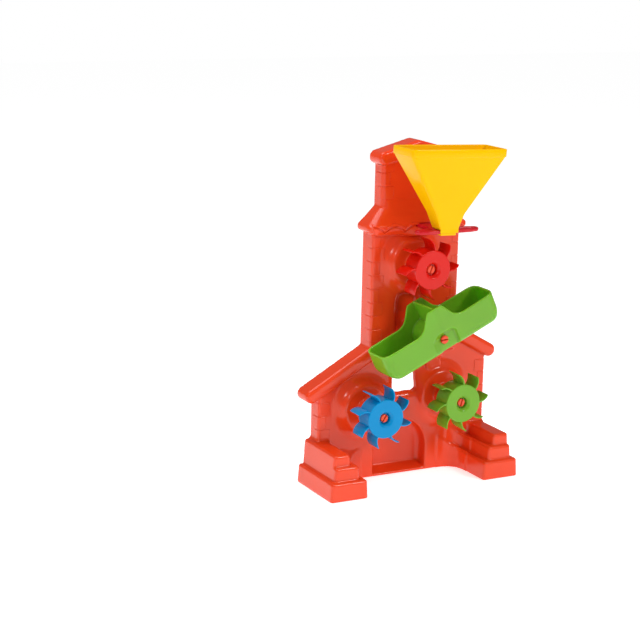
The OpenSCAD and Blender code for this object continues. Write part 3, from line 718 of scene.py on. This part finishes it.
def house_front(x, o, z):
    """The house as if it ran back for ever: the outside of its moulding."""
    whole = wings(x, o, z)
    for web in SWEEPS:
        whole = either(whole, sweep(x, o, z, *web), WEB_FILLET)
    whole = either(whole, tower(x, o, z), TOWER_FILLET)
    whole = either(whole, either(neck(x, o, z), shoulder(x, o, z)), NECK_FILLET)
    for side in (-1, 1):
        whole = either(whole, lean_roof(x, o, z, side), ROOF_FILLET)
    whole = either(whole, top_roof(x, o, z), TOP_ROOF_FILLET)
    whole = either(whole, foot(x, o, z), FOOT_FILLET)
    whole = without(whole, channel(x, o, z), CHANNEL_MOUTH_R)
    for place, wall_out in zip(WHEEL_PLACES, (0, 0, TOWER_OUT)):
        whole = boss(x, o, z, place, wall_out, whole)
    pad = both(np.hypot(x - PAD[0], z - PAD[1]) - PAD_R, o - PAD_OUT, PAD_EDGE_R)
    whole = either(whole, pad, PAD_FILLET)
    whole = without(whole, door(x, o, z), DOOR_MOUTH_R)
    pivot = np.hypot(x - PIVOT[0], z - PIVOT[1]) - COLLAR_R
    collar = both(pivot, o - TROUGH_BACK + FACE_GAP, COLLAR_EDGE_R)
    whole = either(whole, collar, COLLAR_FILLET)
    return both(whole, -z, GROUND_EDGE_R)


def near(distance, reach):
    """One where a distance is well under a reach, and down to nothing at the reach."""
    return np.clip((reach - distance) / BACKING_FADE, 0, 1)


def house_wall(x, z):
    """The thickness of the house's wall."""
    from_shoulder = np.abs(z - SHOULDER_BAND_Z - SHOULDER_BACKING_UP)
    wall = WALL + SHOULDER_BACKING * near(from_shoulder, SHOULDER_BACKING_REACH)
    for place in WHEEL_PLACES:
        from_rim = np.abs(np.hypot(x - place[0], z - place[1]) - BOSS_RIM_R)
        wall = np.maximum(wall, WALL + BOSS_BACKING * near(from_rim, BOSS_BACKING_REACH))
    by_foot = near(np.abs(np.abs(x) - FOOT_BACKING_X), FOOT_BACKING_REACH) * near(z, FOOT_BACKING_TOP)
    return np.maximum(wall, WALL + FOOT_BACKING * by_foot)


def house(x, o, z):
    """The moulded shell, open at the back."""
    outside = house_front(x, o, z)
    shell = both(outside, -outside - house_wall(x, z))
    window = box2(x - CHANNEL_X, z - WINDOW_Z - WINDOW_H / 2, CHANNEL_HALF, WINDOW_H / 2, WINDOW_R)
    shell = without(shell, window, WINDOW_MOUTH_R)
    slot = box2(x - SPOUT_X, z - HOLDER_TOP + HOLDER_T / 2, TONGUE_HALF + TONGUE_GAP,
                HOLDER_T / 2 + TONGUE_GAP)
    shell = without(shell, both(slot, -o))
    peg_drop = (PEG_SIDE * math.sin(TILT) + FLOOR_DOWN + PEG_R + PEG_GAP) / math.cos(TILT)
    for side in (-1, 1):
        peg = np.hypot(x - PIVOT[0] - side * PEG_SIDE, z - PIVOT[1] + peg_drop) - PEG_R
        back = TOWER_OUT - CHANNEL_DEPTH - WALL / 2 if side < 0 else -WALL / 2
        shell = either(shell, both(both(peg, o - PEG_OUT, PEG_EDGE_R), back - o), PEG_FILLET)
    for place in WHEEL_PLACES + (PIVOT,):
        bore = np.hypot(x - place[0], z - place[1]) - AXLE_R - BORE_GAP
        shell = without(shell, both(bore, -o), BORE_EDGE_R)
    return both(shell, -BODY_DEPTH - o, BACK_EDGE_R)


def make_house():
    """The moulded house piece."""
    return moulded("moulded_house", house, *HOUSE_BOX, HOUSE_GRID)


def make_stones(name, edge, side, front, bottom, rows):
    """The corner stones up one edge, long and short by turns, a little proud of the wall."""
    def field(x, o, z):
        row = np.clip(np.floor((z - bottom) / STONE_PITCH), 0, rows - 1)
        reach = np.where(row % 2 == 0, STONE_LONG, STONE_SHORT)
        height = np.abs(z - bottom - (row + 0.5) * STONE_PITCH) - (STONE_PITCH - JOINT) / 2
        inner = side * (edge - x) - reach
        depth = STONE_SHORT + STONE_LONG - reach
        marks = both(both(height, inner), front - depth - o)
        wall = house_front(x, o, z)
        return both(both(wall - STONE_PROUD, -wall - RELIEF_ROOT), marks, STONE_EDGE_R)
    inward = STONE_LONG + BOX_ROOM
    left, right = (inward, STONE_BOX_OUT) if side > 0 else (STONE_BOX_OUT, inward)
    low = (edge - left, front - inward, bottom - STONE_BOX_END)
    high = (edge + right, front + STONE_BOX_OUT, bottom + rows * STONE_PITCH + STONE_BOX_END)
    return moulded(name, field, low, high, STONE_GRID)


def make_scallops():
    """The two scalloped layers over the shoulder's front edge."""
    middle = SHOULDER_Z + SCALLOP_AREA_UP

    def field(x, o, z):
        wall = house_front(x, o, z)
        across = (x - SCALLOP_X) / SCALLOP_W
        arch = SCALLOP_H * (1 - np.abs(2 * (across - np.floor(across)) - 1) ** SCALLOP_ROUND)
        edge = (z - SCALLOP_Z - arch) * SCALLOP_FACTOR
        area = box2(x - TOWER_X, z - middle, SHOULDER_HALF - SCALLOP_ENDS, SCALLOP_AREA_HALF)
        bands = [np.maximum(first - edge, edge - last) for first, last in SCALLOP_LINES]
        skin = both(wall - SCALLOP_PROUD, -wall - RELIEF_ROOT)
        layer = both(skin, either(bands[0], bands[1]), SCALLOP_EDGE_R)
        return both(layer, both(area, -SCALLOP_BACK - o), SCALLOP_END_R)
    low = (TOWER_X - SHOULDER_HALF, -SCALLOP_BACK - 1, SHOULDER_Z - 2)
    high = (TOWER_X + SHOULDER_HALF, SHOULDER_OUT + 2, middle + SCALLOP_AREA_HALF + 0.5)
    return moulded("shoulder_scallops", field, low, high, SCALLOP_GRID)


# The trough

def trough_top(u, v):
    """Distance over the trough's upper edge: a level rim with a hump that has soft corners."""
    lean = (HUMP_BASE_HALF - HUMP_TOP_HALF) / (HUMP_UP - RIM_UP)
    shift = HUMP_R * math.hypot(1, lean)
    root = RIM_UP - HUMP_ROOT
    top = HUMP_UP - HUMP_R
    wide = HUMP_BASE_HALF + HUMP_ROOT * lean - shift
    narrow = HUMP_TOP_HALF + HUMP_R * lean - shift
    hump = shape2(u, v, [(-wide, root), (wide, root), (narrow, top), (-narrow, top)])
    return either(v - RIM_UP, hump - HUMP_R, HUMP_FILLET)


def trough_recess(u, v, o):
    """The hollow round the pivot in the trough's front, with a soft left side and top."""
    floor = PLATE_OUT + RECESS_LEFT_RISE * np.maximum(-RECESS_FLAT - u, 0)
    floor = floor + RECESS_TOP_RISE * np.maximum(v - RECESS_FLAT, 0)
    face = box2(u, v + RECESS_DOWN, VAULT_R + RECESS_SIDE, RECESS_HALF, RECESS_CORNER_R)
    return both(face, (floor - o) * RECESS_FACTOR, RECESS_EDGE_R)


def trough(x, o, z):
    """The tipping trough: two buckets, a hump between them and a vault over the pivot."""
    dx, dz = x - PIVOT[0], z - PIVOT[1]
    u = dx * math.cos(TILT) + dz * math.sin(TILT)
    v = dz * math.cos(TILT) - dx * math.sin(TILT)
    middle = (TROUGH_OUT + TROUGH_BACK) / 2
    half_w = (TROUGH_OUT - TROUGH_BACK) / 2
    spare = LONG_EDGE_R * (1 - math.sqrt(0.5))
    bowl = box2(u, v - BOWL_RUN + FLOOR_DOWN, TROUGH_HALF + spare, BOWL_RUN, END_R)
    plan = box2(u, o - middle, TROUGH_HALF + spare, half_w, CORNER_R)
    outside = both(bowl, plan, LONG_EDGE_R)
    vault2 = np.where(v > 0, np.hypot(u, v), np.abs(u)) - VAULT_R
    vault = both(vault2, TROUGH_BACK + PLATE_T - o, VAULT_EDGE_R)
    outside = without(outside, both(vault, o - PLATE_OUT + PLATE_T), VAULT_MOUTH_R)
    outside = without(outside, trough_recess(u, v, o), RECESS_MOUTH_R)
    backing = END_BACKING * np.clip((np.abs(u) - END_BACKING_FROM) / END_BACKING_FADE, 0, 1)
    shell = both(outside, -outside - TROUGH_WALL - backing)
    divide = both(both(outside, np.abs(u) - TROUGH_WALL / 2), -vault2)
    shell = either(shell, divide, DIVIDE_FILLET)
    slab = np.abs(o - PLATE_OUT + PLATE_T / 2) - PLATE_T / 2
    plate = both(both(vault2 - PLATE_LAP, slab), -v - PLATE_DOWN)
    shell = either(shell, plate, PLATE_FILLET)
    shell = both(shell, trough_top(u, v), RIM_EDGE_R)
    r = np.hypot(dx, dz)
    tube = both(both(r - AXLE_R - TUBE_WALL, o - PLATE_OUT), TROUGH_BACK - o)
    shell = either(shell, tube, TUBE_FILLET)
    return without(shell, r - AXLE_R - SPIN_GAP)


def make_trough():
    """The trough piece."""
    return moulded("tipping_trough_shell", trough, *TROUGH_BOX, TROUGH_GRID)


# Wheels and pins

def drum(x, o, z, place):
    """A wheel's hollow drum with its front disc and the hub's flared hollow."""
    r = np.hypot(x - place[0], z - place[1])
    back = WHEEL_OUT - WHEEL_DEPTH
    body = both(both(r - WHEEL_R, o - WHEEL_OUT, DRUM_EDGE_R), back - o, DRUM_BACK_R)
    hub_end = WHEEL_OUT - DISH_DEPTH
    lean = (DISH_R - DISH_FLOOR_R) / DISH_FLARE
    flare = DISH_FLOOR_R + lean * np.maximum(o - WHEEL_OUT + DISH_FLARE, 0)
    dish = both((r - flare) * DISH_FACTOR, hub_end - o)
    ring = both(r - WHEEL_R + DRUM_WALL, flare + HUB_WALL - r, DRUM_ROOM_R)
    room = both(ring, o - WHEEL_OUT + DRUM_WALL, DRUM_ROOM_R)
    body = without(body, room, DRUM_MOUTH_R)
    body = without(body, dish, DISH_MOUTH_R)
    return without(body, r - AXLE_R - SPIN_GAP, BORE_EDGE_R)


def pin(x, o, z, place, flange_out, bear_out, turn):
    """A snap pin: flange at the back, shaft, and a split head."""
    dx, dz = x - place[0], z - place[1]
    r = np.hypot(dx, dz)
    back = flange_out - FLANGE_T
    neck_out = bear_out + FACE_GAP
    shaft = both(both(r - AXLE_R, o - neck_out - HEAD_H), back - o)
    flange = both(both(r - FLANGE_R, o - flange_out, FLANGE_EDGE_R), back - o, FLANGE_EDGE_R)
    head = both(both(r - HEAD_R, o - neck_out - HEAD_H, HEAD_EDGE_R), neck_out - o)
    across = np.abs(dz * math.cos(turn) - dx * math.sin(turn))
    split = both(across - HEAD_SLOT / 2, neck_out + HEAD_H - SLOT_DEPTH - o)
    return without(either(shaft, either(flange, head)), split, SPLIT_EDGE_R)


def round_box(place, r, back, front):
    """The low and high corners of the space round a turned piece."""
    wide = r + BOX_ROOM
    return ((place[0] - wide, back - BOX_ROOM, place[1] - wide),
            (place[0] + wide, front + BOX_ROOM, place[1] + wide))


def make_drum(name, place):
    """One wheel's drum."""
    low, high = round_box(place, WHEEL_R, WHEEL_OUT - WHEEL_DEPTH, WHEEL_OUT)
    return moulded(name + "_drum", lambda x, o, z: drum(x, o, z, place), low, high, DRUM_GRID)


def make_pin(name, place, flange_out, bear_out, turn):
    """One snap pin, with its split turned by an angle."""
    low, high = round_box(place, FLANGE_R, flange_out - FLANGE_T, bear_out + FACE_GAP + HEAD_H)
    field = lambda x, o, z: pin(x, o, z, place, flange_out, bear_out, turn)
    return moulded(name, field, low, high, PIN_GRID)


def blade_mesh(turn):
    """One curved blade beside the wheel's axis, as a mesh about that axis."""
    root = WHEEL_R - BLADE_ROOT
    lean = math.atan2(BLADE_CURVE_R, root)
    to_centre = 2 * BLADE_CURVE_R * math.hypot(root, BLADE_CURVE_R)
    end = lean - math.acos((TIP_R ** 2 - root ** 2 - 2 * BLADE_CURVE_R ** 2) / to_centre)
    front = WHEEL_OUT - BLADE_BACK
    back = WHEEL_OUT - WHEEL_DEPTH + BLADE_REAR
    points = []
    for k in range(BLADE_STATIONS + 1):
        t = k / BLADE_STATIONS
        a = -math.pi / 2 + t * (end + math.pi / 2)
        thick = BLADE_T * (1 - BLADE_TAPER * t)
        trim = BLADE_TRIM * max(0, t - BLADE_TRIM_FROM) / BLADE_TRIM_RUN
        for side, out in ((1, front - trim), (-1, front - trim), (-1, back + trim), (1, back + trim)):
            r = BLADE_CURVE_R + side * thick / 2
            points.append((root + r * math.cos(a), out, BLADE_CURVE_R + r * math.sin(a)))
    points = np.array(points)
    c, s = math.cos(math.radians(turn)), math.sin(math.radians(turn))
    across = points[:, 0] * c - points[:, 2] * s
    up = points[:, 0] * s + points[:, 2] * c
    faces = [[3, 2, 1, 0], [4 * BLADE_STATIONS + k for k in range(4)]]
    for k in range(BLADE_STATIONS):
        for j in range(4):
            a, b = 4 * k + j, 4 * k + (j + 1) % 4
            faces.append([a, b, b + 4, a + 4])
    piece = solid("blade", to_frame(np.stack([across, points[:, 1], up], 1)), faces)
    turned = bmesh.new()
    turned.from_mesh(piece.data)
    bmesh.ops.recalc_face_normals(turned, faces=turned.faces)
    edges = [edge for edge in turned.edges if edge.calc_face_angle(0) > BLADE_EDGE_TURN]
    bmesh.ops.bevel(turned, geom=edges, offset=BLADE_EDGE_R * MM, segments=2, profile=0.5,
                    affect="EDGES", clamp_overlap=True)
    turned.to_mesh(piece.data)
    turned.free()
    piece.data.shade_smooth()
    return piece


def blade_ring_tree():
    """A tree that sets copies of a blade evenly round an axis along Y."""
    tree = bpy.data.node_groups.new("blade ring", "GeometryNodeTree")
    face = tree.interface
    face.new_socket("Blade", in_out="INPUT", socket_type="NodeSocketGeometry")
    face.new_socket("Count", in_out="INPUT", socket_type="NodeSocketInt")
    face.new_socket("Axis Place", in_out="INPUT", socket_type="NodeSocketVector")
    face.new_socket("Plastic", in_out="INPUT", socket_type="NodeSocketMaterial")
    face.new_socket("Ring", in_out="OUTPUT", socket_type="NodeSocketGeometry")
    nodes, links = tree.nodes, tree.links
    given = nodes.new("NodeGroupInput")
    made = nodes.new("NodeGroupOutput")
    points = nodes.new("GeometryNodePoints")
    index = nodes.new("GeometryNodeInputIndex")
    share = nodes.new("ShaderNodeMath")
    share.operation = "DIVIDE"
    angle = nodes.new("ShaderNodeMath")
    angle.operation = "MULTIPLY"
    angle.inputs[1].default_value = 2 * math.pi
    turn = nodes.new("ShaderNodeCombineXYZ")
    copies = nodes.new("GeometryNodeInstanceOnPoints")
    real = nodes.new("GeometryNodeRealizeInstances")
    finish = nodes.new("GeometryNodeSetMaterial")
    links.new(given.outputs["Count"], points.inputs["Count"])
    links.new(given.outputs["Axis Place"], points.inputs["Position"])
    links.new(index.outputs[0], share.inputs[0])
    links.new(given.outputs["Count"], share.inputs[1])
    links.new(share.outputs[0], angle.inputs[0])
    links.new(angle.outputs[0], turn.inputs["Y"])
    links.new(points.outputs[0], copies.inputs["Points"])
    links.new(given.outputs["Blade"], copies.inputs["Instance"])
    links.new(turn.outputs[0], copies.inputs["Rotation"])
    links.new(copies.outputs[0], real.inputs[0])
    links.new(real.outputs[0], finish.inputs["Geometry"])
    links.new(given.outputs["Plastic"], finish.inputs["Material"])
    links.new(finish.outputs[0], made.inputs["Ring"])
    return tree


def socket_id(tree, name):
    """The identifier of a tree's input."""
    for item in tree.interface.items_tree:
        if item.item_type == "SOCKET" and item.in_out == "INPUT" and item.name == name:
            return item.identifier
    raise KeyError(name)


def make_blades(name, place, plastic, tree):
    """One wheel's ring of blades as a plain mesh."""
    piece = blade_mesh(place[2])
    piece.name = name + "_blades"
    modifier = piece.modifiers.new("blade ring", "NODES")
    modifier.node_group = tree
    modifier[socket_id(tree, "Count")] = BLADES
    modifier[socket_id(tree, "Axis Place")] = (place[0] * MM, 0.0, place[1] * MM)
    modifier[socket_id(tree, "Plastic")] = plastic
    view = bpy.context.evaluated_depsgraph_get()
    mesh = bpy.data.meshes.new_from_object(piece.evaluated_get(view))
    piece.modifiers.clear()
    piece.data = mesh
    mesh.shade_smooth()
    return piece


# The funnel and its holder

def rounded_ring(centre, width, depth, radius, height, arc=6):
    """Points round a rounded rectangle at one height, in millimetres in the frame."""
    ring = []
    for corner, (sx, sy) in enumerate(((1, 1), (-1, 1), (-1, -1), (1, -1))):
        for k in range(arc + 1):
            a = math.pi / 2 * (corner + k / arc)
            ring.append((centre[0] + sx * (width / 2 - radius) + radius * math.cos(a),
                         FRONT_Y - centre[1] + sy * (depth / 2 - radius) + radius * math.sin(a), height))
    return ring


def leaned(points):
    """Points in millimetres leaned over with the funnel, about the middle of its seat."""
    across, up = points[:, 0] - SPOUT_X, points[:, 2] - SEAT_Z
    c, s = math.cos(FUNNEL_LEAN), math.sin(FUNNEL_LEAN)
    return np.stack([SPOUT_X + across * c + up * s, points[:, 1], SEAT_Z + up * c - across * s], 1)


def loft(name, rings):
    """A closed skin through rings that come back to the first one."""
    n = len(rings[0])
    points = leaned(np.array([p for ring in rings for p in ring])) * MM
    faces = []
    for k in range(len(rings)):
        nxt = (k + 1) % len(rings)
        for j in range(n):
            i = (j + 1) % n
            faces.append([k * n + j, k * n + i, nxt * n + i, nxt * n + j])
    return solid(name, points, faces)


def make_funnel():
    """The funnel with its rim band, steep neck and the plug that sits in the holder."""
    middle = (FUNNEL_X + SPOUT_X) / 2
    stretches = {
        "spout": ((SPOUT_X, SPOUT_OUT), SPOUT_W, SPOUT_D),
        "bend": ((middle, SPOUT_OUT), BEND_W, SPOUT_D + (BEND_W - SPOUT_W) / 3),
        "rim": ((FUNNEL_X, FUNNEL_OUT), FUNNEL_W, FUNNEL_D),
    }
    for name in ("bend", "rim"):
        place, width, depth = stretches[name]
        stretches[name + " inside"] = (place, width - 2 * FUNNEL_WALL, depth - 2 * FUNNEL_WALL)
    levels = {"plug": SEAT_Z - NECK_DOWN, "seat": SEAT_Z, "bend": SEAT_Z + BEND_UP,
              "band": FUNNEL_TOP - BAND_H, "top": FUNNEL_TOP}
    rings = []
    for stretch, less_width, less_depth, radius, level, over in FUNNEL_SKIN:
        place, width, depth = stretches[stretch]
        rings.append(rounded_ring(place, width - less_width, depth - less_depth, radius,
                                  levels[level] + over))
    return loft("funnel_walls", rings)


def apron(x, o, z):
    """The front wall's hanging lip over the holder's front edge."""
    c, s = math.cos(FUNNEL_LEAN), math.sin(FUNNEL_LEAN)
    across = (x - SPOUT_X) * c - (z - SEAT_Z) * s
    up = (z - SEAT_Z) * c + (x - SPOUT_X) * s
    front = SPOUT_OUT + SPOUT_D / 2
    face = box2(across, up + (LIP_DROP - LIP_LAP) / 2, SPOUT_W / 2 - LIP_SIDE,
                (LIP_DROP + LIP_LAP) / 2, LIP_CORNER_R)
    return both(face, np.abs(o - front + LIP_T / 2) - LIP_T / 2, LIP_EDGE_R)


def make_apron():
    """The funnel's hanging lip."""
    front = SPOUT_OUT + SPOUT_D / 2
    half = SPOUT_W / 2 + 2
    low = (SPOUT_X - half, front - 3, SEAT_Z - LIP_DROP - 2)
    high = (SPOUT_X + half, front + 1, SEAT_Z + LIP_LAP + 2)
    return moulded("funnel_lip", apron, low, high, LIP_GRID)


def holder(x, o, z):
    """The collar under the funnel with its looped ears and the tongue into the shoulder."""
    u, v = x - SPOUT_X, o - SPOUT_OUT
    across = np.abs(x - HOLDER_X)
    tip = HOLDER_L / 2 - EAR_R
    inner, half = SPOUT_W / 2, (HOLDER_D - RAIL_W) / 2
    outer = inner + RAIL_W
    plan = shape2(across, np.abs(v), [(-1, -1), (outer, -1), (outer, half), (-1, half)])
    ear = shape2(across, v, [(inner, -half), (tip, -EAR_R), (tip, EAR_R), (inner, half)])
    plan = either(plan, ear, HOLDER_FILLET)
    plan = either(plan, np.hypot(across - tip, v) - EAR_R)
    plan = either(plan, box2(u, v, outer, HOLDER_D / 2, HOLDER_CORNER_R), HOLDER_FILLET)
    plan = either(plan, box2(u, v + TONGUE_RUN, TONGUE_HALF, TONGUE_RUN), TONGUE_FILLET)
    plan = both(plan, v - SPOUT_D / 2 + SEAT_LAP)
    plate = both(plan, np.abs(z - HOLDER_TOP + HOLDER_T / 2) - HOLDER_T / 2, HOLDER_EDGE_R)
    start = inner + 2 * RAIL_W
    wide = EAR_R - RAIL_W / 2
    slot = shape2(across, v, [(start, -wide), (tip, -EAR_SLOT_R), (tip, EAR_SLOT_R), (start, wide)])
    slot = either(slot, np.hypot(across - tip, v) - EAR_SLOT_R)
    slot = either(slot, np.hypot(across - start, v) - wide)
    hole = box2(u, v, SPOUT_W / 2 - SEAT_LAP, SPOUT_D / 2 - SEAT_LAP, HOLE_R)
    return without(without(plate, slot, EAR_SLOT_EDGE_R), hole, HOLE_EDGE_R)


def make_holder():
    """The funnel holder piece."""
    return moulded("funnel_holder_plate", holder, *HOLDER_BOX, HOLDER_GRID)


# Finishes

def linear(colour):
    """A colour as seen on a screen, as the amounts of light it stands for."""
    return [(part / SCREEN_FULL) ** SCREEN_GAMMA for part in colour] + [1.0]


def noise(nodes, scale, detail):
    """A noise texture of one scale."""
    texture = nodes.new("ShaderNodeTexNoise")
    texture.inputs["Scale"].default_value = scale
    texture.inputs["Detail"].default_value = detail
    return texture


def stretched(nodes, low, high):
    """A node that takes the middle of a noise to a range."""
    spread = nodes.new("ShaderNodeMapRange")
    spread.inputs["From Min"].default_value, spread.inputs["From Max"].default_value = NOISE_RANGE
    spread.inputs["To Min"].default_value = low
    spread.inputs["To Max"].default_value = high
    return spread


def flow_group():
    """Slow drifts of a moulded colour with fine grain over them."""
    tree = bpy.data.node_groups.new("moulded colour", "ShaderNodeTree")
    face = tree.interface
    face.new_socket("Colour", in_out="INPUT", socket_type="NodeSocketColor")
    face.new_socket("Colour", in_out="OUTPUT", socket_type="NodeSocketColor")
    face.new_socket("Roughness", in_out="OUTPUT", socket_type="NodeSocketFloat")
    face.new_socket("Height", in_out="OUTPUT", socket_type="NodeSocketFloat")
    nodes, links = tree.nodes, tree.links
    given = nodes.new("NodeGroupInput")
    made = nodes.new("NodeGroupOutput")
    place = nodes.new("ShaderNodeTexCoord")
    slow = noise(nodes, DRIFT_SCALE, DRIFT_DETAIL)
    fine = noise(nodes, GRAIN_SCALE, GRAIN_DETAIL)
    value = stretched(nodes, 1.0 - DRIFT, 1.0)
    rough = stretched(nodes, *ROUGHNESS_RANGE)
    tint = nodes.new("ShaderNodeHueSaturation")
    links.new(place.outputs["Object"], slow.inputs["Vector"])
    links.new(place.outputs["Object"], fine.inputs["Vector"])
    links.new(slow.outputs["Fac"], value.inputs["Value"])
    links.new(slow.outputs["Fac"], rough.inputs["Value"])
    links.new(given.outputs["Colour"], tint.inputs["Color"])
    links.new(value.outputs["Result"], tint.inputs["Value"])
    links.new(tint.outputs["Color"], made.inputs["Colour"])
    links.new(rough.outputs["Result"], made.inputs["Roughness"])
    links.new(fine.outputs["Fac"], made.inputs["Height"])
    return tree


def plastic(name, group, colour, glow, shine, reach):
    """Glossy moulded plastic of one colour."""
    material = bpy.data.materials.new(name)
    material.use_nodes = True
    nodes, links = material.node_tree.nodes, material.node_tree.links
    shader = nodes["Principled BSDF"]
    flow = nodes.new("ShaderNodeGroup")
    flow.node_tree = group
    flow.inputs["Colour"].default_value = linear(colour)
    grain = nodes.new("ShaderNodeBump")
    grain.inputs["Strength"].default_value = GRAIN_STRENGTH
    grain.inputs["Distance"].default_value = GRAIN_HEIGHT
    links.new(flow.outputs["Colour"], shader.inputs["Base Color"])
    links.new(flow.outputs["Roughness"], shader.inputs["Roughness"])
    links.new(flow.outputs["Height"], grain.inputs["Height"])
    links.new(grain.outputs["Normal"], shader.inputs["Normal"])
    shader.inputs["IOR"].default_value = PLASTIC_IOR
    shader.inputs["Specular IOR Level"].default_value = shine
    shader.inputs["Subsurface Weight"].default_value = glow
    shader.inputs["Subsurface Radius"].default_value = reach
    shader.inputs["Subsurface Scale"].default_value = GLOW_DEPTH
    return material


def floor_finish():
    """A flat white finish for the floor, with a little light of its own."""
    material = bpy.data.materials.new("white floor")
    material.use_nodes = True
    shader = material.node_tree.nodes["Principled BSDF"]
    shader.inputs["Base Color"].default_value = FLOOR_GREY
    shader.inputs["Roughness"].default_value = FLOOR_ROUGHNESS
    shader.inputs["Specular IOR Level"].default_value = 0.0
    shader.inputs["Emission Color"].default_value = WHITE
    shader.inputs["Emission Strength"].default_value = FLOOR_LIGHT
    return material


# The studio

def set_camera():
    """The photograph's camera: place, turn and lens."""
    camera = bpy.data.objects.new("camera", bpy.data.cameras.new("camera"))
    bpy.context.scene.collection.objects.link(camera)
    yaw, pitch, roll = (math.radians(a) for a in (CAMERA_YAW, CAMERA_PITCH, CAMERA_ROLL))
    right = Vector((math.cos(yaw), math.sin(yaw), 0))
    ahead = Vector((-math.sin(yaw) * math.cos(pitch), math.cos(yaw) * math.cos(pitch), -math.sin(pitch)))
    up = right.cross(ahead)
    leaned = right * math.cos(roll) + up * math.sin(roll)
    raised = up * math.cos(roll) - right * math.sin(roll)
    turn = Matrix((leaned, raised, -ahead)).transposed().to_4x4()
    camera.matrix_world = Matrix.Translation(Vector(CAMERA_AT) * MM) @ turn
    camera.data.lens = CAMERA_LENS
    camera.data.sensor_width = SENSOR_WIDTH
    camera.data.clip_start = CLIP_START
    bpy.context.scene.camera = camera


def soft_light(name, place, size, power):
    """A square soft light turned to the toy."""
    lamp = bpy.data.lights.new(name, "AREA")
    lamp.size = size
    lamp.energy = power
    light = bpy.data.objects.new(name, lamp)
    bpy.context.scene.collection.objects.link(light)
    light.location = place
    light.rotation_euler = (Vector(AIM) - Vector(place)).to_track_quat("-Z", "Y").to_euler()


def white_room():
    """A world that is white to look at, soft grey to light by, and dim in what shines."""
    world = bpy.data.worlds.new("white room")
    world.use_nodes = True
    nodes, links = world.node_tree.nodes, world.node_tree.links
    sky = nodes["Background"]
    sky.inputs["Color"].default_value = WHITE
    ray = nodes.new("ShaderNodeLightPath")
    seen = nodes.new("ShaderNodeMix")
    seen.inputs["A"].default_value = ROOM_LIGHT
    seen.inputs["B"].default_value = 1.0
    shine = nodes.new("ShaderNodeMix")
    shine.inputs["B"].default_value = ROOM_SHINE
    links.new(ray.outputs["Is Camera Ray"], seen.inputs["Factor"])
    links.new(ray.outputs["Is Glossy Ray"], shine.inputs["Factor"])
    links.new(seen.outputs["Result"], shine.inputs["A"])
    links.new(shine.outputs["Result"], sky.inputs["Strength"])
    bpy.context.scene.world = world


def set_studio():
    """A white floor and air with soft lights from the front right, the left and above."""
    bpy.context.scene.view_settings.view_transform = "Standard"
    white_room()
    bpy.ops.mesh.primitive_plane_add(size=FLOOR_SIZE)
    floor = bpy.context.object
    floor.name = "floor"
    floor.data.materials.append(floor_finish())
    for light in LIGHTS:
        soft_light(*light)


def dress(piece, body, material, nodes=()):
    """Gives a piece its plastic and its body, and hides the solids that it stands for."""
    if not piece.data.materials:
        piece.data.materials.append(material)
    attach(piece, body)
    if nodes:
        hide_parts(*nodes)


def build():
    """The whole dressed toy."""
    set_camera()
    set_studio()
    group = flow_group()
    paint = {name: plastic(name, group, *finish) for name, finish in FINISHES.items()}
    shell, pins, yellow = paint["orange red shell"], paint["orange red pin"], paint["yellow funnel"]
    dress(make_house(), "house", shell, ["body_shell"])
    for edge in EDGES:
        dress(make_stones(*edge), "house", shell)
    dress(make_scallops(), "house", shell)
    dress(make_holder(), "house", paint["crimson holder"], ["funnel_holder"])
    dress(make_trough(), "tipping_trough", paint["green trough"], ["trough"])
    dress(make_funnel(), "hopper", yellow, ["funnel"])
    dress(make_apron(), "hopper", yellow)
    tree = blade_ring_tree()
    for name, place, body, finish, split in WHEELS:
        axle = name.split("_")[0] + "_axle"
        dress(make_drum(name, place), body, paint[finish], [name])
        dress(make_blades(name, place, paint[finish], tree), body, paint[finish])
        snap = make_pin(axle + "_pin", place, COLLAR_OUT - COLLAR_END, WHEEL_OUT - DISH_DEPTH, split)
        dress(snap, "house", pins, [axle])
    pivot = make_pin("trough_axle_pin", PIVOT, TROUGH_BACK - FACE_GAP - COLLAR_END, PLATE_OUT,
                     TROUGH_SPLIT)
    dress(pivot, "house", pins, ["trough_axle"])


build()
